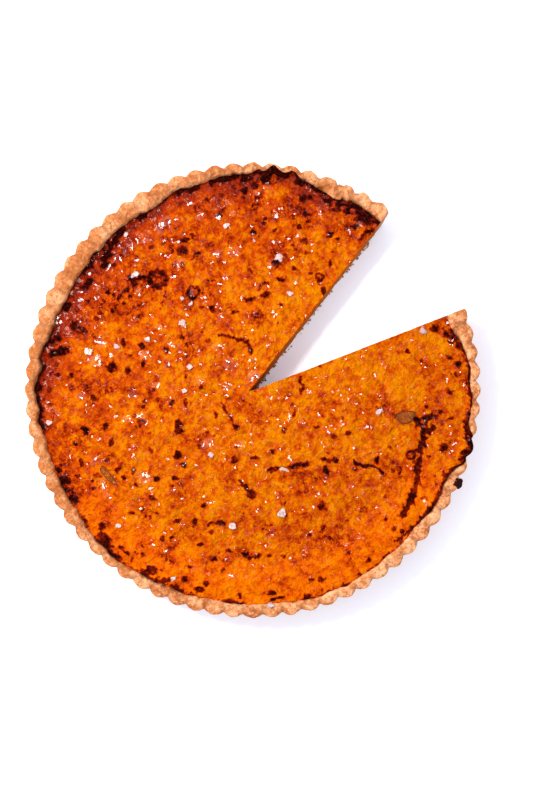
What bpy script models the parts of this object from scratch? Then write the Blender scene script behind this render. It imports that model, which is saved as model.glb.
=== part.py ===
"""A baked squash tart: a fluted shortcrust shell filled with set squash custard, with one slice cut out.

Metres, +Z up. The origin is on the surface that the tart stands on, below the middle of the round crust.
Angles are in degrees, anticlockwise from +X. The missing slice lies in the +X +Y quarter.
"""

from math import atan2, cos, degrees, exp, hypot, pi, radians, sin

import bmesh
import bpy
from mathutils import Matrix, Vector, noise

# Crust
CRUST_RADIUS = 0.140  # over the flutes, at the rim
FLUTES = 72
FLUTE_DEPTH = 0.0026
CRUST_HEIGHT = 0.025
FOOT_INSET = 0.0035  # how much smaller the crust is at its foot than at its rim
FOOT_CHAMFER = 0.0010
BASE_THICKNESS = 0.0045
INNER_RADIUS = 0.132  # inner edge of the rim, before the swells below
INNER_LEAN = 0.0035  # how much smaller the inner wall is at the base
THINNEST_RIM = 0.0016
STEPS_A_FLUTE = 4

# Places where the hand-pressed rim is thicker (plus) or thinner (minus): angle, spread, change of width
RIM_SWELLS = (
    (5, 4, -0.0028),
    (20, 5, 0.0048),
    (54, 3, 0.0018),
    (67, 4, 0.0030),
    (84, 5, -0.0032),
    (98, 5, -0.0010),
    (122, 8, 0.0032),
    (145, 10, 0.0036),
    (159, 5, 0.0022),
    (181, 5, -0.0024),
    (201, 7, 0.0010),
    (231, 5, -0.0022),
    (277, 6, 0.0006),
    (290, 5, -0.0016),
    (317, 5, 0.0016),
    (338, 8, -0.0040),
    (354, 4, -0.0016),
)
# Where the rim has crumbled away, and where custard has baked over it: angle, spread, loss of height
RIM_DIPS = ((66, 6, 0.0020), (228, 4, 0.0008), (338, 9, 0.0022))
CRUMBLED_ANGLE, CRUMBLED_SPREAD, CRUMBLED_LOSS = 66, 6, 0.0010
# Lumps of the crumbled rim: angle, distance out from the inner edge, length along the rim, width, in mm
LUMPS = (
    (54, 4, 6, 6),
    (59, 5, 6, 4),
    (63.5, 4, 8, 5),
    (68, 4, 9, 5),
    (73, 4, 6, 4),
)

# Filling
FILLING_LEVEL = 0.0205
EDGE_RISE = 0.0014  # the custard climbs towards the crust
LEVEL_TILT, LEVEL_TILT_ANGLE = 0.0008, 325  # it stands highest on this side
FIT_GAP = 0.0005  # between filling and crust
FILLING_STEPS = 144
FILLING_RINGS = 18
WAVES = ((0.026, 0.0008), (0.012, 0.0006))  # size and height of the uneven top
# A long crack in the baked top and its side branch: the points of each line, in mm
CRACKS = (
    ((109, -16), (105, -23), (105, -32), (102, -42), (102, -50), (98, -68), (94, -76)),
    ((105, -32), (109, -27), (114, -24)),
    ((11, -49), (22, -48), (33, -45)),
)
CRACK_WIDTH, CRACK_DEPTH = 0.0022, 0.0024
# Custard that ran over the rim: middle angle, half its length, how far in it starts, thickness
SPILL_ANGLE, SPILL_SPREAD, SPILL_INSET, SPILL_THICKNESS = 337, 15, 0.006, 0.0015
SPILL_EDGE, SPILL_SUNK = 0.0004, 0.0030  # how thick it ends, and how far it reaches down into the filling
SPILL_SEGMENTS, SPILL_RINGS = 24, 6

# The slice that is missing. The knife leaned, so its second face stands further out at the floor.
NOTCH_APEX = Vector((-0.0035, -0.0011, 0))
NOTCH_ANGLES = (21.0, 51.8)
NOTCH_REACH = 0.180
KNIFE_LEAN_AT_APEX, KNIFE_LEAN_AT_RIM = 0.0028, 0.0006
CUTTER_BELOW, CUTTER_ABOVE = -0.005, 0.035

# Salt flakes on the filling: x, y, length, width in mm and turn in degrees
SALT_FLAKES = (
    (-16, 101, 4.5, 3.5, 20),
    (17, 82, 6.5, 5, 40),
    (-71.5, 72, 7, 3.5, 10),
    (-77.5, 96, 4, 3, 70),
    (23, 60, 4, 3.5, 0),
    (-42.5, 41, 5, 4.5, 30),
    (-84, 27, 4.5, 3, 160),
    (-101.5, 24, 5, 4.5, 15),
    (-39, 15, 4, 4, 50),
    (-42.5, -0.5, 4, 3, 0),
    (-125.5, -20, 4.5, 4, 60),
    (-25.5, -39.5, 4, 3.5, 20),
    (18, -76, 7, 5.5, 35),
    (-13.5, -83, 5, 4.5, 0),
    (-82.5, -83, 4.5, 3, 15),
    (77.5, -13.5, 6.5, 4, 35),
    (19, -49, 5.5, 2.5, 150),
    (104.5, 36, 5.5, 4.5, 150),
    (-44, 56.5, 3.5, 3, 45),
    (-65, 31.5, 3.5, 3, 80),
    (-49, -115.5, 3.5, 3, 30),
)
RIM_FLAKE = (10.5, -134.5, 5, 3.5, 5)  # one lies on the rim
FLAKE_THICKNESS, FLAKE_SUNK = 0.0016, 0.0008
FLAKE_SIDES = 5

# Charred crags of the filling: angle, distance in from the crust, length along the rim, width, in mm
CRAGS = (
    (9, 6, 6, 5),
    (13.5, 8, 9, 7),
    (55, 6, 7, 6),
    (58, 9, 9, 7),
    (63, 5, 12, 6),
    (76, 5, 7, 5),
    (84, 5, 16, 7),
    (93, 5, 7, 5),
    (110, 4.5, 7, 5),
    (122, 5, 6, 5),
    (130.5, 37, 10, 10),
    (150, 5, 7, 4),
    (167, 5, 6, 5),
    (182, 5, 14, 6),
    (205, 5, 9, 6),
    (217, 5, 6, 5),
    (226, 5, 16, 7),
    (240, 6, 10, 7),
    (249, 5, 8, 7),
    (265, 5, 7, 5),
    (325, 5, 9, 5),
    (346, 19, 8, 6),
)
CRAG_HEIGHT, CRAG_ROUGHNESS = 0.0030, 0.35
BURNT_DROP = (335, 0.1394, 4.5, 6.5)  # hangs over the rim: angle, radius, length and width in mm
BURNT_DROP_LIFT = 0.0022  # of its middle above the rim

PASTRY = ("shortcrust", (0.75, 0.42, 0.20), 0.85)
CUSTARD = ("squash_custard", (0.85, 0.27, 0.02), 0.35)


def clear_scene():
    for item in list(bpy.data.objects):
        bpy.data.objects.remove(item)


def material(name, colour, roughness):
    made = bpy.data.materials.new(name)
    made.use_nodes = True
    shader = made.node_tree.nodes["Principled BSDF"]
    shader.inputs["Base Color"].default_value = (*colour, 1)
    shader.inputs["Roughness"].default_value = roughness
    shader.inputs["Metallic"].default_value = 0
    return made


def collection(name):
    made = bpy.data.collections.new(name)
    bpy.context.scene.collection.children.link(made)
    return made


def bell(angle, centre, spread):
    """1 at the centre angle, falling away smoothly on both sides."""
    away = (angle - centre + 180) % 360 - 180
    return exp(-0.5 * (away / spread) ** 2)


def blend(start, end, value):
    """0 below start and 1 above end, with a smooth step between them."""
    share = min(1, max(0, (value - start) / (end - start)))
    return share * share * (3 - 2 * share)


def ripple(angle, turns, layer):
    """Smooth noise round the tart, from about -1 to 1, with about that many waves in a turn."""
    reach = turns / (2 * pi)
    return noise.noise(Vector((reach * cos(radians(angle)), reach * sin(radians(angle)), layer)))


def outer_radius(angle):
    """The crust's outline at its rim: rounded scallops that meet in sharp valleys."""
    scallop = abs(cos(radians(angle * FLUTES / 2)))
    crumbled = bell(angle, CRUMBLED_ANGLE, CRUMBLED_SPREAD)
    loss = CRUMBLED_LOSS * crumbled * (1 + ripple(angle, 60, 3))
    return CRUST_RADIUS - FLUTE_DEPTH * (1 - scallop) - loss


def inner_radius(angle):
    """The inner edge of the rim, where the filling starts."""
    swell = sum(width * bell(angle, centre, spread) for centre, spread, width in RIM_SWELLS)
    wanted = INNER_RADIUS - swell + 0.0005 * ripple(angle, 30, 5)
    return min(wanted, CRUST_RADIUS - FLUTE_DEPTH - THINNEST_RIM)


def rim_height(angle):
    dips = sum(loss * bell(angle, centre, spread) for centre, spread, loss in RIM_DIPS)
    return CRUST_HEIGHT - dips + 0.0005 * ripple(angle, 24, 9)


def wall_radius(angle, height):
    """The crust's inner wall at that height above the floor."""
    share = (height - BASE_THICKNESS) / (CRUST_HEIGHT - BASE_THICKNESS)
    return inner_radius(angle) - INNER_LEAN * (1 - min(1, max(0, share)))


def filling_height(x, y):
    """The uneven baked top of the filling."""
    angle = degrees(atan2(y, x))
    share = hypot(x, y) / inner_radius(angle)
    height = FILLING_LEVEL + EDGE_RISE * blend(0.72, 0.96, share)
    height += LEVEL_TILT * share * cos(radians(angle - LEVEL_TILT_ANGLE))
    for layer, (size, rise) in enumerate(WAVES):
        height += rise * noise.noise(Vector((x / size, y / size, layer)))
    return height


def turned(name, profile, steps):
    """A profile of (radius, height) turned once round Z, as a plain mesh object."""
    mesh = bpy.data.meshes.new(name)
    edges = [(i, i + 1) for i in range(len(profile) - 1)]
    mesh.from_pydata([(radius, 0, height) for radius, height in profile], edges, [])
    made = bpy.data.objects.new(name, mesh)
    bpy.context.scene.collection.objects.link(made)
    screw = made.modifiers.new("turn", "SCREW")
    screw.angle = 2 * pi
    screw.steps = screw.render_steps = steps
    screw.use_merge_vertices = True
    screw.merge_threshold = 0.00001
    return keep_evaluated(made)


def keep_evaluated(item):
    """Applies an object's modifiers."""
    bpy.context.view_layer.update()
    result = bpy.data.meshes.new_from_object(item.evaluated_get(bpy.context.evaluated_depsgraph_get()))
    item.modifiers.clear()
    item.data = result
    return item


def boolean(item, operation, cutter=None, group=None):
    modifier = item.modifiers.new(operation.lower(), "BOOLEAN")
    modifier.operation = operation
    modifier.solver = "EXACT"
    if group:
        modifier.operand_type = "COLLECTION"
        modifier.collection = group
    else:
        modifier.object = cutter
    return keep_evaluated(item)


def place(vertex, angle, radius, height):
    vertex.co = (radius * cos(radians(angle)), radius * sin(radians(angle)), height)


def angle_of(vertex):
    return degrees(atan2(vertex.co.y, vertex.co.x))


def crust_section(angle):
    """The crust's section at an angle, as (radius, height) from the inner corner over the rim to the foot."""
    outer, inner, top = outer_radius(angle), inner_radius(angle), rim_height(angle)
    width = outer - inner
    edge_drop = min(0.0014, 0.35 * width)
    foot = outer - FOOT_INSET
    return (
        (inner - INNER_LEAN, BASE_THICKNESS),
        (inner, top - edge_drop),
        (inner + 0.22 * width, top),
        (outer - 0.22 * width, top),
        (outer, top - edge_drop),
        (foot, FOOT_CHAMFER),
        (foot - FOOT_CHAMFER, 0),
    )


def make_crust():
    """The pastry shell: flat base, leaning wall and fluted outside, each ring of the turned shape set by angle."""
    section = crust_section(0)
    profile = [(0, BASE_THICKNESS), *section, (0, 0)]
    crust = turned("crust", profile, FLUTES * STEPS_A_FLUTE)
    rings = {(round(radius, 6), round(height, 6)): i for i, (radius, height) in enumerate(section)}
    for vertex in crust.data.vertices:
        ring = rings.get((round(hypot(vertex.co.x, vertex.co.y), 6), round(vertex.co.z, 6)))
        if ring is not None:
            angle = angle_of(vertex)
            place(vertex, angle, *crust_section(angle)[ring])
    return crust


def make_filling():
    """The set custard: it fills the shell up to its uneven top, and its side follows the crust's inner wall."""
    low = BASE_THICKNESS + FIT_GAP
    rings = [INNER_RADIUS * i / FILLING_RINGS for i in range(1, FILLING_RINGS + 1)]
    profile = [(0, FILLING_LEVEL), *((r, FILLING_LEVEL) for r in rings), (INNER_RADIUS, low), (0, low)]
    filling = turned("filling", profile, FILLING_STEPS)
    for vertex in filling.data.vertices:
        share = hypot(vertex.co.x, vertex.co.y) / INNER_RADIUS
        angle = angle_of(vertex)
        on_top = vertex.co.z > (FILLING_LEVEL + low) / 2
        if not on_top:
            place(vertex, angle, share * (wall_radius(angle, low) - FIT_GAP), low)
            continue
        edge = wall_radius(angle, FILLING_LEVEL) - FIT_GAP
        x, y = share * edge * cos(radians(angle)), share * edge * sin(radians(angle))
        vertex.co = (x, y, filling_height(x, y))
    return filling


def make_notch_cutter():
    """The wedge of the missing slice: a three-sided prism, whose second face leans."""
    first, second = (Vector((cos(radians(a)), sin(radians(a)), 0)) for a in NOTCH_ANGLES)
    away = Vector((-second.y, second.x, 0))

    def wedge(shape):
        bmesh.ops.create_cone(shape, cap_ends=True, segments=3, radius1=1, radius2=1, depth=1)
        levels = {CUTTER_BELOW: [], CUTTER_ABOVE: []}
        for vertex in shape.verts:
            levels[CUTTER_ABOVE if vertex.co.z > 0 else CUTTER_BELOW].append(vertex)
        for height, corners in levels.items():
            corners.sort(key=lambda corner: angle_of(corner) % 360)
            lean = away * (height / CRUST_HEIGHT - 1)
            wanted = (
                NOTCH_APEX + lean * KNIFE_LEAN_AT_APEX,
                NOTCH_APEX + first * NOTCH_REACH,
                NOTCH_APEX + second * NOTCH_REACH + lean * KNIFE_LEAN_AT_RIM,
            )
            for corner, spot in zip(corners, wanted):
                corner.co = (spot.x, spot.y, height)

    return shaped("notch", wedge)


def make_crack_cutters():
    """A bar for each stretch of a crack, four-sided and standing on its edge, so that it cuts a V."""
    cutters = []
    for line in CRACKS:
        for start, end in zip(line, line[1:]):
            start, end = (Vector((x / 1000, y / 1000, 0)) for x, y in (start, end))
            middle, run = (start + end) / 2, end - start
            size = (run.length + CRACK_WIDTH, CRACK_WIDTH, 2 * CRACK_DEPTH)
            middle.z = filling_height(middle.x, middle.y)
            turn = degrees(atan2(run.y, run.x))
            cutters.append(shaped("crack", crack_shape, size, turn, middle))
    return cutters


def shaped(name, fill_shape, size=(1, 1, 1), turn=0, at=(0, 0, 0)):
    """A small solid made by fill_shape(bmesh) at unit size, then scaled, turned about Z and moved."""
    mesh = bpy.data.meshes.new(name)
    shape = bmesh.new()
    fill_shape(shape)
    matrix = Matrix.Translation(at) @ Matrix.Rotation(radians(turn), 4, "Z") @ Matrix.Diagonal((*size, 1))
    bmesh.ops.transform(shape, matrix=matrix, verts=shape.verts)
    shape.to_mesh(mesh)
    shape.free()
    return bpy.data.objects.new(name, mesh)


def crack_shape(shape):
    """A stretch of a crack at unit size: a square bar along X, standing on its edge."""
    bmesh.ops.create_cone(shape, cap_ends=True, segments=4, radius1=0.5, radius2=0.5, depth=1)
    turn_down = Matrix.Rotation(pi / 2, 4, "Y")
    bmesh.ops.transform(shape, matrix=turn_down, verts=shape.verts)


def flake_shape(shape):
    """A salt flake at unit size: a low, uneven pyramid with its top cut off."""
    bmesh.ops.create_cone(shape, cap_ends=True, segments=FLAKE_SIDES, radius1=0.5, radius2=0.38, depth=1)


def crag_shape(shape):
    """A charred crumb at unit size, rough all over."""
    bmesh.ops.create_icosphere(shape, subdivisions=2, radius=0.5)
    for vertex in shape.verts:
        vertex.co *= 1 + CRAG_ROUGHNESS * noise.noise(vertex.co * 4)


def make_flake(flake, height):
    x, y, length, width, turn = flake
    size = (length / 1000, width / 1000, FLAKE_THICKNESS)
    at = Vector((x / 1000, y / 1000, height + FLAKE_THICKNESS / 2 - FLAKE_SUNK))
    return shaped("salt_flake", flake_shape, size, turn, at)


def crag_at(angle, radius, height, length, width):
    at = Vector((radius * cos(radians(angle)), radius * sin(radians(angle)), height))
    return shaped("crag", crag_shape, (width / 1000, length / 1000, CRAG_HEIGHT), angle, at)


def make_crag(crag):
    angle, inset, length, width = crag
    radius = inner_radius(angle) - inset / 1000
    height = filling_height(radius * cos(radians(angle)), radius * sin(radians(angle)))
    return crag_at(angle, radius, height, length, width)


def make_lump(lump):
    angle, out, length, width = lump
    return crag_at(angle, inner_radius(angle) + out / 1000, rim_height(angle), length, width)


def make_spill():
    """The tongue of custard over the rim: a ball drawn out along the rim, flat underneath where it hangs over."""

    def tongue(shape):
        bmesh.ops.create_uvsphere(shape, u_segments=SPILL_SEGMENTS, v_segments=SPILL_RINGS, radius=1)
        for vertex in shape.verts:
            along, across, up = vertex.co
            across /= max(0.45, (1 - along * along) ** 0.4)
            angle = SPILL_ANGLE + SPILL_SPREAD * along
            inner, outer = inner_radius(angle), outer_radius(angle)
            start = inner - SPILL_INSET
            radius = (start + outer) / 2 + across * (outer - start) / 2
            seat = rim_height(angle) + FIT_GAP
            height = seat + SPILL_EDGE + SPILL_THICKNESS * up
            if up < -0.01:
                height = seat + SPILL_SUNK * up * (1 - blend(inner - 0.004, inner - 0.001, radius))
            place(vertex, angle, radius, height)

    return shaped("spill", tongue)


def make_burnt_drop():
    angle, radius, length, width = BURNT_DROP
    return crag_at(angle, radius, rim_height(angle) + BURNT_DROP_LIFT, length, width)


def together(item, operation, pieces):
    """Joins small pieces to an object, or cuts them out of it, all at once."""
    group = collection(item.name + "_pieces")
    for piece in pieces:
        group.objects.link(piece)
    boolean(item, operation, group=group)
    for piece in pieces:
        bpy.data.objects.remove(piece)
    bpy.data.collections.remove(group)


def finish(item, home, look):
    for owner in list(item.users_collection):
        owner.objects.unlink(item)
    home.objects.link(item)
    item.data.materials.clear()
    item.data.materials.append(material(*look))
    item.data.shade_smooth()
    item.data.set_sharp_from_angle(angle=radians(40))


def main():
    clear_scene()
    tart, cutters = collection("squash_tart"), collection("cutters")
    notch = make_notch_cutter()
    notch.hide_render = True
    notch.display_type = "WIRE"
    cutters.objects.link(notch)
    crust, filling = make_crust(), make_filling()
    rim_angle = degrees(atan2(RIM_FLAKE[1], RIM_FLAKE[0]))
    together(crust, "UNION", [make_flake(RIM_FLAKE, rim_height(rim_angle)), *map(make_lump, LUMPS)])
    flakes = [make_flake(f, filling_height(f[0] / 1000, f[1] / 1000)) for f in SALT_FLAKES]
    crags = [make_crag(crag) for crag in CRAGS]
    together(filling, "UNION", [*flakes, *crags, make_spill(), make_burnt_drop()])
    together(filling, "DIFFERENCE", make_crack_cutters())
    for item in (crust, filling):
        boolean(item, "DIFFERENCE", cutter=notch)
    finish(crust, tart, PASTRY)
    finish(filling, tart, CUSTARD)


main()
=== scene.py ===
"""The looks of a baked squash tart with one slice cut out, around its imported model.

Metres, +Z up, in the model's frame. Angles are in degrees, anticlockwise from +X.
The meshes are rings of points that run round the tart from one cut face to the other.
"""

from math import cos, pi, radians, sin

import bmesh
import bpy
import numpy as np
from mathutils import Matrix, Vector, noise


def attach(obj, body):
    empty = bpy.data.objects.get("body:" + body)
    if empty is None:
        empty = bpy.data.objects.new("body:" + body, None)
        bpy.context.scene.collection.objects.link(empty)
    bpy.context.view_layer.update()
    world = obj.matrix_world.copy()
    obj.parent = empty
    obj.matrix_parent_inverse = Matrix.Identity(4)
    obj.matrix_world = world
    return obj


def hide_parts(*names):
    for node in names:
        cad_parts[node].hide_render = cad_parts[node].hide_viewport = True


# The photograph's frame, and its pixels on the tart
FRAME_WIDTH, FRAME_HEIGHT = 533, 800
PIXEL = 0.000613  # metres under one pixel, at the height of the rim
MIDDLE = (252.66, 390.23)  # the pixel of the tart's middle
LENS = 50  # mm, on a 36 mm sensor

# Crust. Its sizes are the solids', apart from the three swells marked below and the broken inner edge
CRUST_RADIUS = 0.140
FLUTES, FLUTE_DEPTH = 72, 0.0026
CRUST_HEIGHT = 0.025
FOOT_INSET, FOOT_CHAMFER = 0.0035, 0.0010
BASE_THICKNESS = 0.0045
INNER_RADIUS, INNER_LEAN = 0.132, 0.0035
THINNEST_RIM = 0.0016
# Where the hand-pressed rim is thicker (plus) or thinner (minus): angle, spread, change of width
RIM_SWELLS = (
    (5, 4, -0.0028),
    (20, 5, 0.0048),
    (54, 3, 0.0018),
    (67, 4, 0.0030),
    (84, 5, -0.0032),
    (98, 5, -0.0010),
    (122, 8, 0.0032),
    (145, 10, 0.0036),
    (159, 5, 0.0022),
    (181, 5, -0.0024),
    (201, 7, 0.0010),
    (231, 5, -0.0022),
    (277, 6, 0.0006),
    (290, 5, -0.0016),
    (317, 5, 0.0016),
    # these three, beside the tongue: the solids have one wider swell in their place
    (328, 3, -0.0008),
    (336, 3, 0.0014),
    (345, 4, -0.0036),
    # as in the solids again
    (354, 4, -0.0016),
)
RIM_RIPPLE = (0.0005, 30, 5)  # of the inner edge: depth, turns and layer
# What breaks the inner edge further, in the looks alone: depth, turns and layer
BROKEN_EDGE = ((0.0010, 60, 15), (0.0009, 150, 16))
BROKEN_MORE = 0.9  # how much more where the crust is toasted, as a share
RIM_DIPS = ((66, 6, 0.0020), (228, 4, 0.0008), (338, 9, 0.0022))
CRUMBLED_ANGLE, CRUMBLED_SPREAD, CRUMBLED_LOSS = 66, 6, 0.0010
TOASTED = (170, 55)  # where the crust has browned most: angle and spread
SHADED_INSIDE = (169, 16, 0.62)  # painted shade on the rim's inner side, which faces away from the light there: angle, spread and amount
CREST = 0.62  # where the rim is highest, as a share of its width from the inside
# How far the rim's crown drops on each side, and at most which share of the rim's width
CROWN_DROP, CROWN_DROP_INSIDE = (0.0014, 0.35), (0.0026, 0.45)
CROWN_POWER, CROWN_POWER_INSIDE = 0.75, 0.8  # under 1 the crown is fuller than a quarter of an oval
WALL_POWER = 1.5  # over 1 the rows of the inner wall are closer together at its top

# Filling. Its level and waves are the solids'. The tongue and the burnt drop differ a little from theirs
FILLING_LEVEL, EDGE_RISE = 0.0205, 0.0014
LEVEL_TILT, LEVEL_TILT_ANGLE = 0.0008, 325
WAVES = ((0.026, 0.0008), (0.012, 0.0006))
EDGE_STARTS, EDGE_ENDS = 0.72, 0.96  # where the top rises towards the rim, as shares of the radius
EDGE_TUCK, OVERHANG = 0.0002, 0.0003  # the top ends this far inside the rim, or hangs this far out over it
SPILL_THICKNESS, SPILL_EDGE, SPILL_ROUNDING = 0.0013, 0.0004, 0.0020
SPILL_STARTS, SPILL_ENDS = (337, 344), (347, 351)  # the tongue: angles over which it starts and ends
CLIMB_STARTS, CLIMB_ENDS = 0.006, 0.001  # how far inside the rim the custard climbs towards a spill
# Where a little more boiled over: angle, spread, share of the rim covered
BOILED_OVER = ((79.5, 1.6, 0.55), (84.5, 1.8, 0.70), (88.5, 1.2, 0.50), (357.0, 1.6, 0.45))
BURNT_DROP = (335.5, 0.1388, 0.0060, 0.0062)  # hangs over the rim: angle, radius, length and width
BURNT_DROP_SUNK = 0.0010  # how far its middle is below the rim's top
BURNT_DROP_FLATNESS = 0.55
BURNT_DROP_LUMPS = ((0.35, 2.6), (0.22, 6.5))  # depth as a share, and how many

# The missing slice, where the solids have it
NOTCH_APEX = np.array((-0.0035, -0.0011))
NOTCH_ANGLES = (21.0, 51.8)
KNIFE_LEAN_AT_APEX, KNIFE_LEAN_AT_RIM, KNIFE_REACH = 0.0028, 0.0006, 0.180

# How fine the meshes are
CUSTARD_COLUMNS, CUSTARD_SPACING = 832, 0.00093
WIDEST_STRIDE = 8  # towards the middle every second column ends, up to this many times fewer
CUSTARD_SIDE_ROWS, CUSTARD_LIP_ROW = 12, 7
CUSTARD_PRESS = 0.00015  # how far the custard reaches into the crust, so that no gap shows
CRUST_COLUMNS = 1152
CRUST_WALL_ROWS, CRUST_CROWN_ROWS = 18, 7
CRUST_CUT_ROWS, CRUST_CUT_COLUMNS, CRUST_CUT_SPACING = 6, 6, 0.0011
CRUST_MIDDLE_ROW = 1 + CRUST_WALL_ROWS + CRUST_CROWN_ROWS  # of the crown, counted from the foot
CUSTARD_BOTTOM = BASE_THICKNESS - 0.0001
BASE_ROUGHNESS, WALL_ROUGHNESS = 2.8, 1.6  # how much rougher than the custard's the crust's cut is
LATTICE = 97  # points a side of the noise's lattice, before it repeats
SHARP = 55  # degrees between faces that meet in an edge

# Noise, as layers of amount, size in metres and seed
RAGGED = ((0.40, 0.0034, 11), (0.26, 0.0022, 12))  # how ragged a spot's outline is, as a share
TORN = ((0.35, 0.0062, 20),)  # more of that along the rim and the cracks
BENT_X = ((0.0007, 0.0050, 51), (0.0005, 0.0022, 52))  # how far spots are pushed out of plain ovals
BENT_Y = ((0.0007, 0.0050, 53), (0.0005, 0.0022, 54))
ROUGH = ((1.0, 0.0036, 13), (0.5, 0.0024, 14))  # how rough the charred spots are
LUMPS = ((0.00050, 0.0090, 15), (0.00042, 0.0048, 16))  # of the custard's whole top
BROWN_CLOUDS = ((0.05, 0.025, 18), (0.03, 0.012, 19))
CUT_PORES = ((0.00016, 0.0050, 31), (0.00012, 0.0018, 33))  # the second face has the next seed
PASTRY_GRAIN = ((0.00030, 0.0080, 41), (0.00034, 0.0036, 42), (0.00012, 0.0016, 43))
CRUMBLED_GRAIN = ((0.0014, 0.0055, 44), (0.0009, 0.0028, 45))


# ---------------------------------------------------------------- small helpers


def fade(share):
    share = np.clip(share, 0, 1)
    return share * share * share * (share * (share * 6 - 15) + 10)


def step(start, end, value):
    """0 up to start, 1 from end on, and a smooth step between them. End may be below start."""
    return fade((value - start) / (end - start))


def bell(angle, centre, spread):
    away = (angle - centre + 180) % 360 - 180
    return np.exp(-0.5 * (away / spread) ** 2)


def sector(angle, starts, ends):
    """1 between two angles and 0 elsewhere. Each end is a pair of angles that it fades over."""
    return step(*starts, angle) * (1 - step(*ends, angle))


def relief(u, v, size, seed):
    """Gradient noise over two lengths in metres, from about -1 to 1, with lumps of about that size."""
    turns = np.random.default_rng(seed).uniform(0, 2 * pi, (LATTICE, LATTICE))
    slope_u, slope_v = np.cos(turns), np.sin(turns)
    u, v = u / size, v / size
    i, j = np.floor(u).astype(int), np.floor(v).astype(int)
    total = np.zeros_like(u)
    for step_i in (0, 1):
        for step_j in (0, 1):
            a, b = (i + step_i) % LATTICE, (j + step_j) % LATTICE
            du, dv = u - i - step_i, v - j - step_j
            slope = slope_u[a, b] * du + slope_v[a, b] * dv
            total += fade(1 - np.abs(du)) * fade(1 - np.abs(dv)) * slope
    return 1.6 * total


def mixed(u, v, layers, start=0):
    """Layers of noise on top of each other, and of what they start from."""
    return sum((amount * relief(u, v, size, seed) for amount, size, seed in layers), start)


def ripple(angle, turns, layer):
    """Smooth noise round the tart, made as the solids make theirs."""
    reach = turns / (2 * pi)
    around = np.radians(angle)
    points = zip((reach * np.cos(around)).flat, (reach * np.sin(around)).flat)
    values = [noise.noise(Vector((x, y, layer))) for x, y in points]
    return np.array(values).reshape(np.shape(angle))


def waves(x, y):
    """The uneven level of the filling, the same as the solids have."""
    total = np.zeros_like(x)
    for layer, (size, rise) in enumerate(WAVES):
        values = [noise.noise(Vector((a / size, b / size, layer))) for a, b in zip(x.flat, y.flat)]
        total += rise * np.array(values).reshape(x.shape)
    return total


def on_tart(px, py):
    """The place on the tart, in metres, that a pixel of the photograph shows."""
    return (px - MIDDLE[0]) * PIXEL, (MIDDLE[1] - py) * PIXEL


def polar(angle, radius, height):
    around = np.radians(angle)
    return np.stack((radius * np.cos(around), radius * np.sin(around), height + 0 * around), axis=-1)


# ---------------------------------------------------------------- the tart's form


def scallop(angle):
    """1 at the tip of each flute, down to 0 in the valleys between them."""
    return np.abs(np.cos(np.radians(angle * FLUTES / 2)))


def outer_radius(angle):
    """The crust's outline at its rim: rounded scallops that meet in sharp valleys."""
    crumbled = bell(angle, CRUMBLED_ANGLE, CRUMBLED_SPREAD)
    loss = CRUMBLED_LOSS * crumbled * (1 + ripple(angle, 60, 3))
    return CRUST_RADIUS - FLUTE_DEPTH * (1 - scallop(angle)) - loss


def inner_radius(angle):
    """The inner edge of the rim, where the filling starts."""
    swell = sum(width * bell(angle, centre, spread) for centre, spread, width in RIM_SWELLS)
    depth, *waves_round = RIM_RIPPLE
    wanted = INNER_RADIUS - swell + depth * ripple(angle, *waves_round)
    broken = sum(depth * ripple(angle, turns, layer) for depth, turns, layer in BROKEN_EDGE)
    wanted = wanted + broken * (1 + BROKEN_MORE * bell(angle, *TOASTED))
    return np.minimum(wanted, CRUST_RADIUS - FLUTE_DEPTH - THINNEST_RIM)


def rim_height(angle):
    dips = sum(loss * bell(angle, centre, spread) for centre, spread, loss in RIM_DIPS)
    return CRUST_HEIGHT - dips + 0.0005 * ripple(angle, 24, 9)


def spill(angle):
    """How far the custard has run over the rim: 0 none, 1 right over it."""
    tongue = sector(angle % 360, SPILL_STARTS, SPILL_ENDS)
    boiled = sum(share * bell(angle % 360, centre, spread) for centre, spread, share in BOILED_OVER)
    return np.maximum(tongue, boiled)


def custard_edge(angle):
    """Where the custard's top ends."""
    inner = inner_radius(angle)
    over = outer_radius(angle) + OVERHANG - inner
    return inner - EDGE_TUCK + spill(angle) * over


def custard_height(x, y):
    """The uneven baked top of the custard, before its fine relief."""
    angle = np.degrees(np.arctan2(y, x))
    radius = np.hypot(x, y)
    inner = inner_radius(angle)
    share = radius / inner
    height = FILLING_LEVEL + EDGE_RISE * step(EDGE_STARTS, EDGE_ENDS, share)
    height += LEVEL_TILT * share * np.cos(np.radians(angle - LEVEL_TILT_ANGLE))
    height += waves(x, y)
    over = spill(angle) * step(inner - CLIMB_STARTS, inner - CLIMB_ENDS, radius)
    edge = step(custard_edge(angle) + EDGE_TUCK, custard_edge(angle) - SPILL_ROUNDING, radius)
    tongue = rim_height(angle) + SPILL_EDGE + SPILL_THICKNESS * edge
    return height + over * (tongue - height)


def cut_direction(angle):
    return np.array((cos(radians(angle)), sin(radians(angle))))


def on_cut(reach, height, second):
    """Points of a cut face, at a distance from the notch's point and a height. The knife leaned back."""
    reach, height = np.broadcast_arrays(np.asarray(reach, float), np.asarray(height, float))
    back = cut_direction(NOTCH_ANGLES[1] + 90)
    tilt = (height / CRUST_HEIGHT - 1)[..., None]
    start = NOTCH_APEX + tilt * KNIFE_LEAN_AT_APEX * back
    end = NOTCH_APEX + KNIFE_REACH * cut_direction(NOTCH_ANGLES[second])
    end = end + second * tilt * KNIFE_LEAN_AT_RIM * back
    spot = start + (end - start) * (reach / KNIFE_REACH)[..., None]
    return np.concatenate((spot, height[..., None]), axis=-1)


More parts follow.
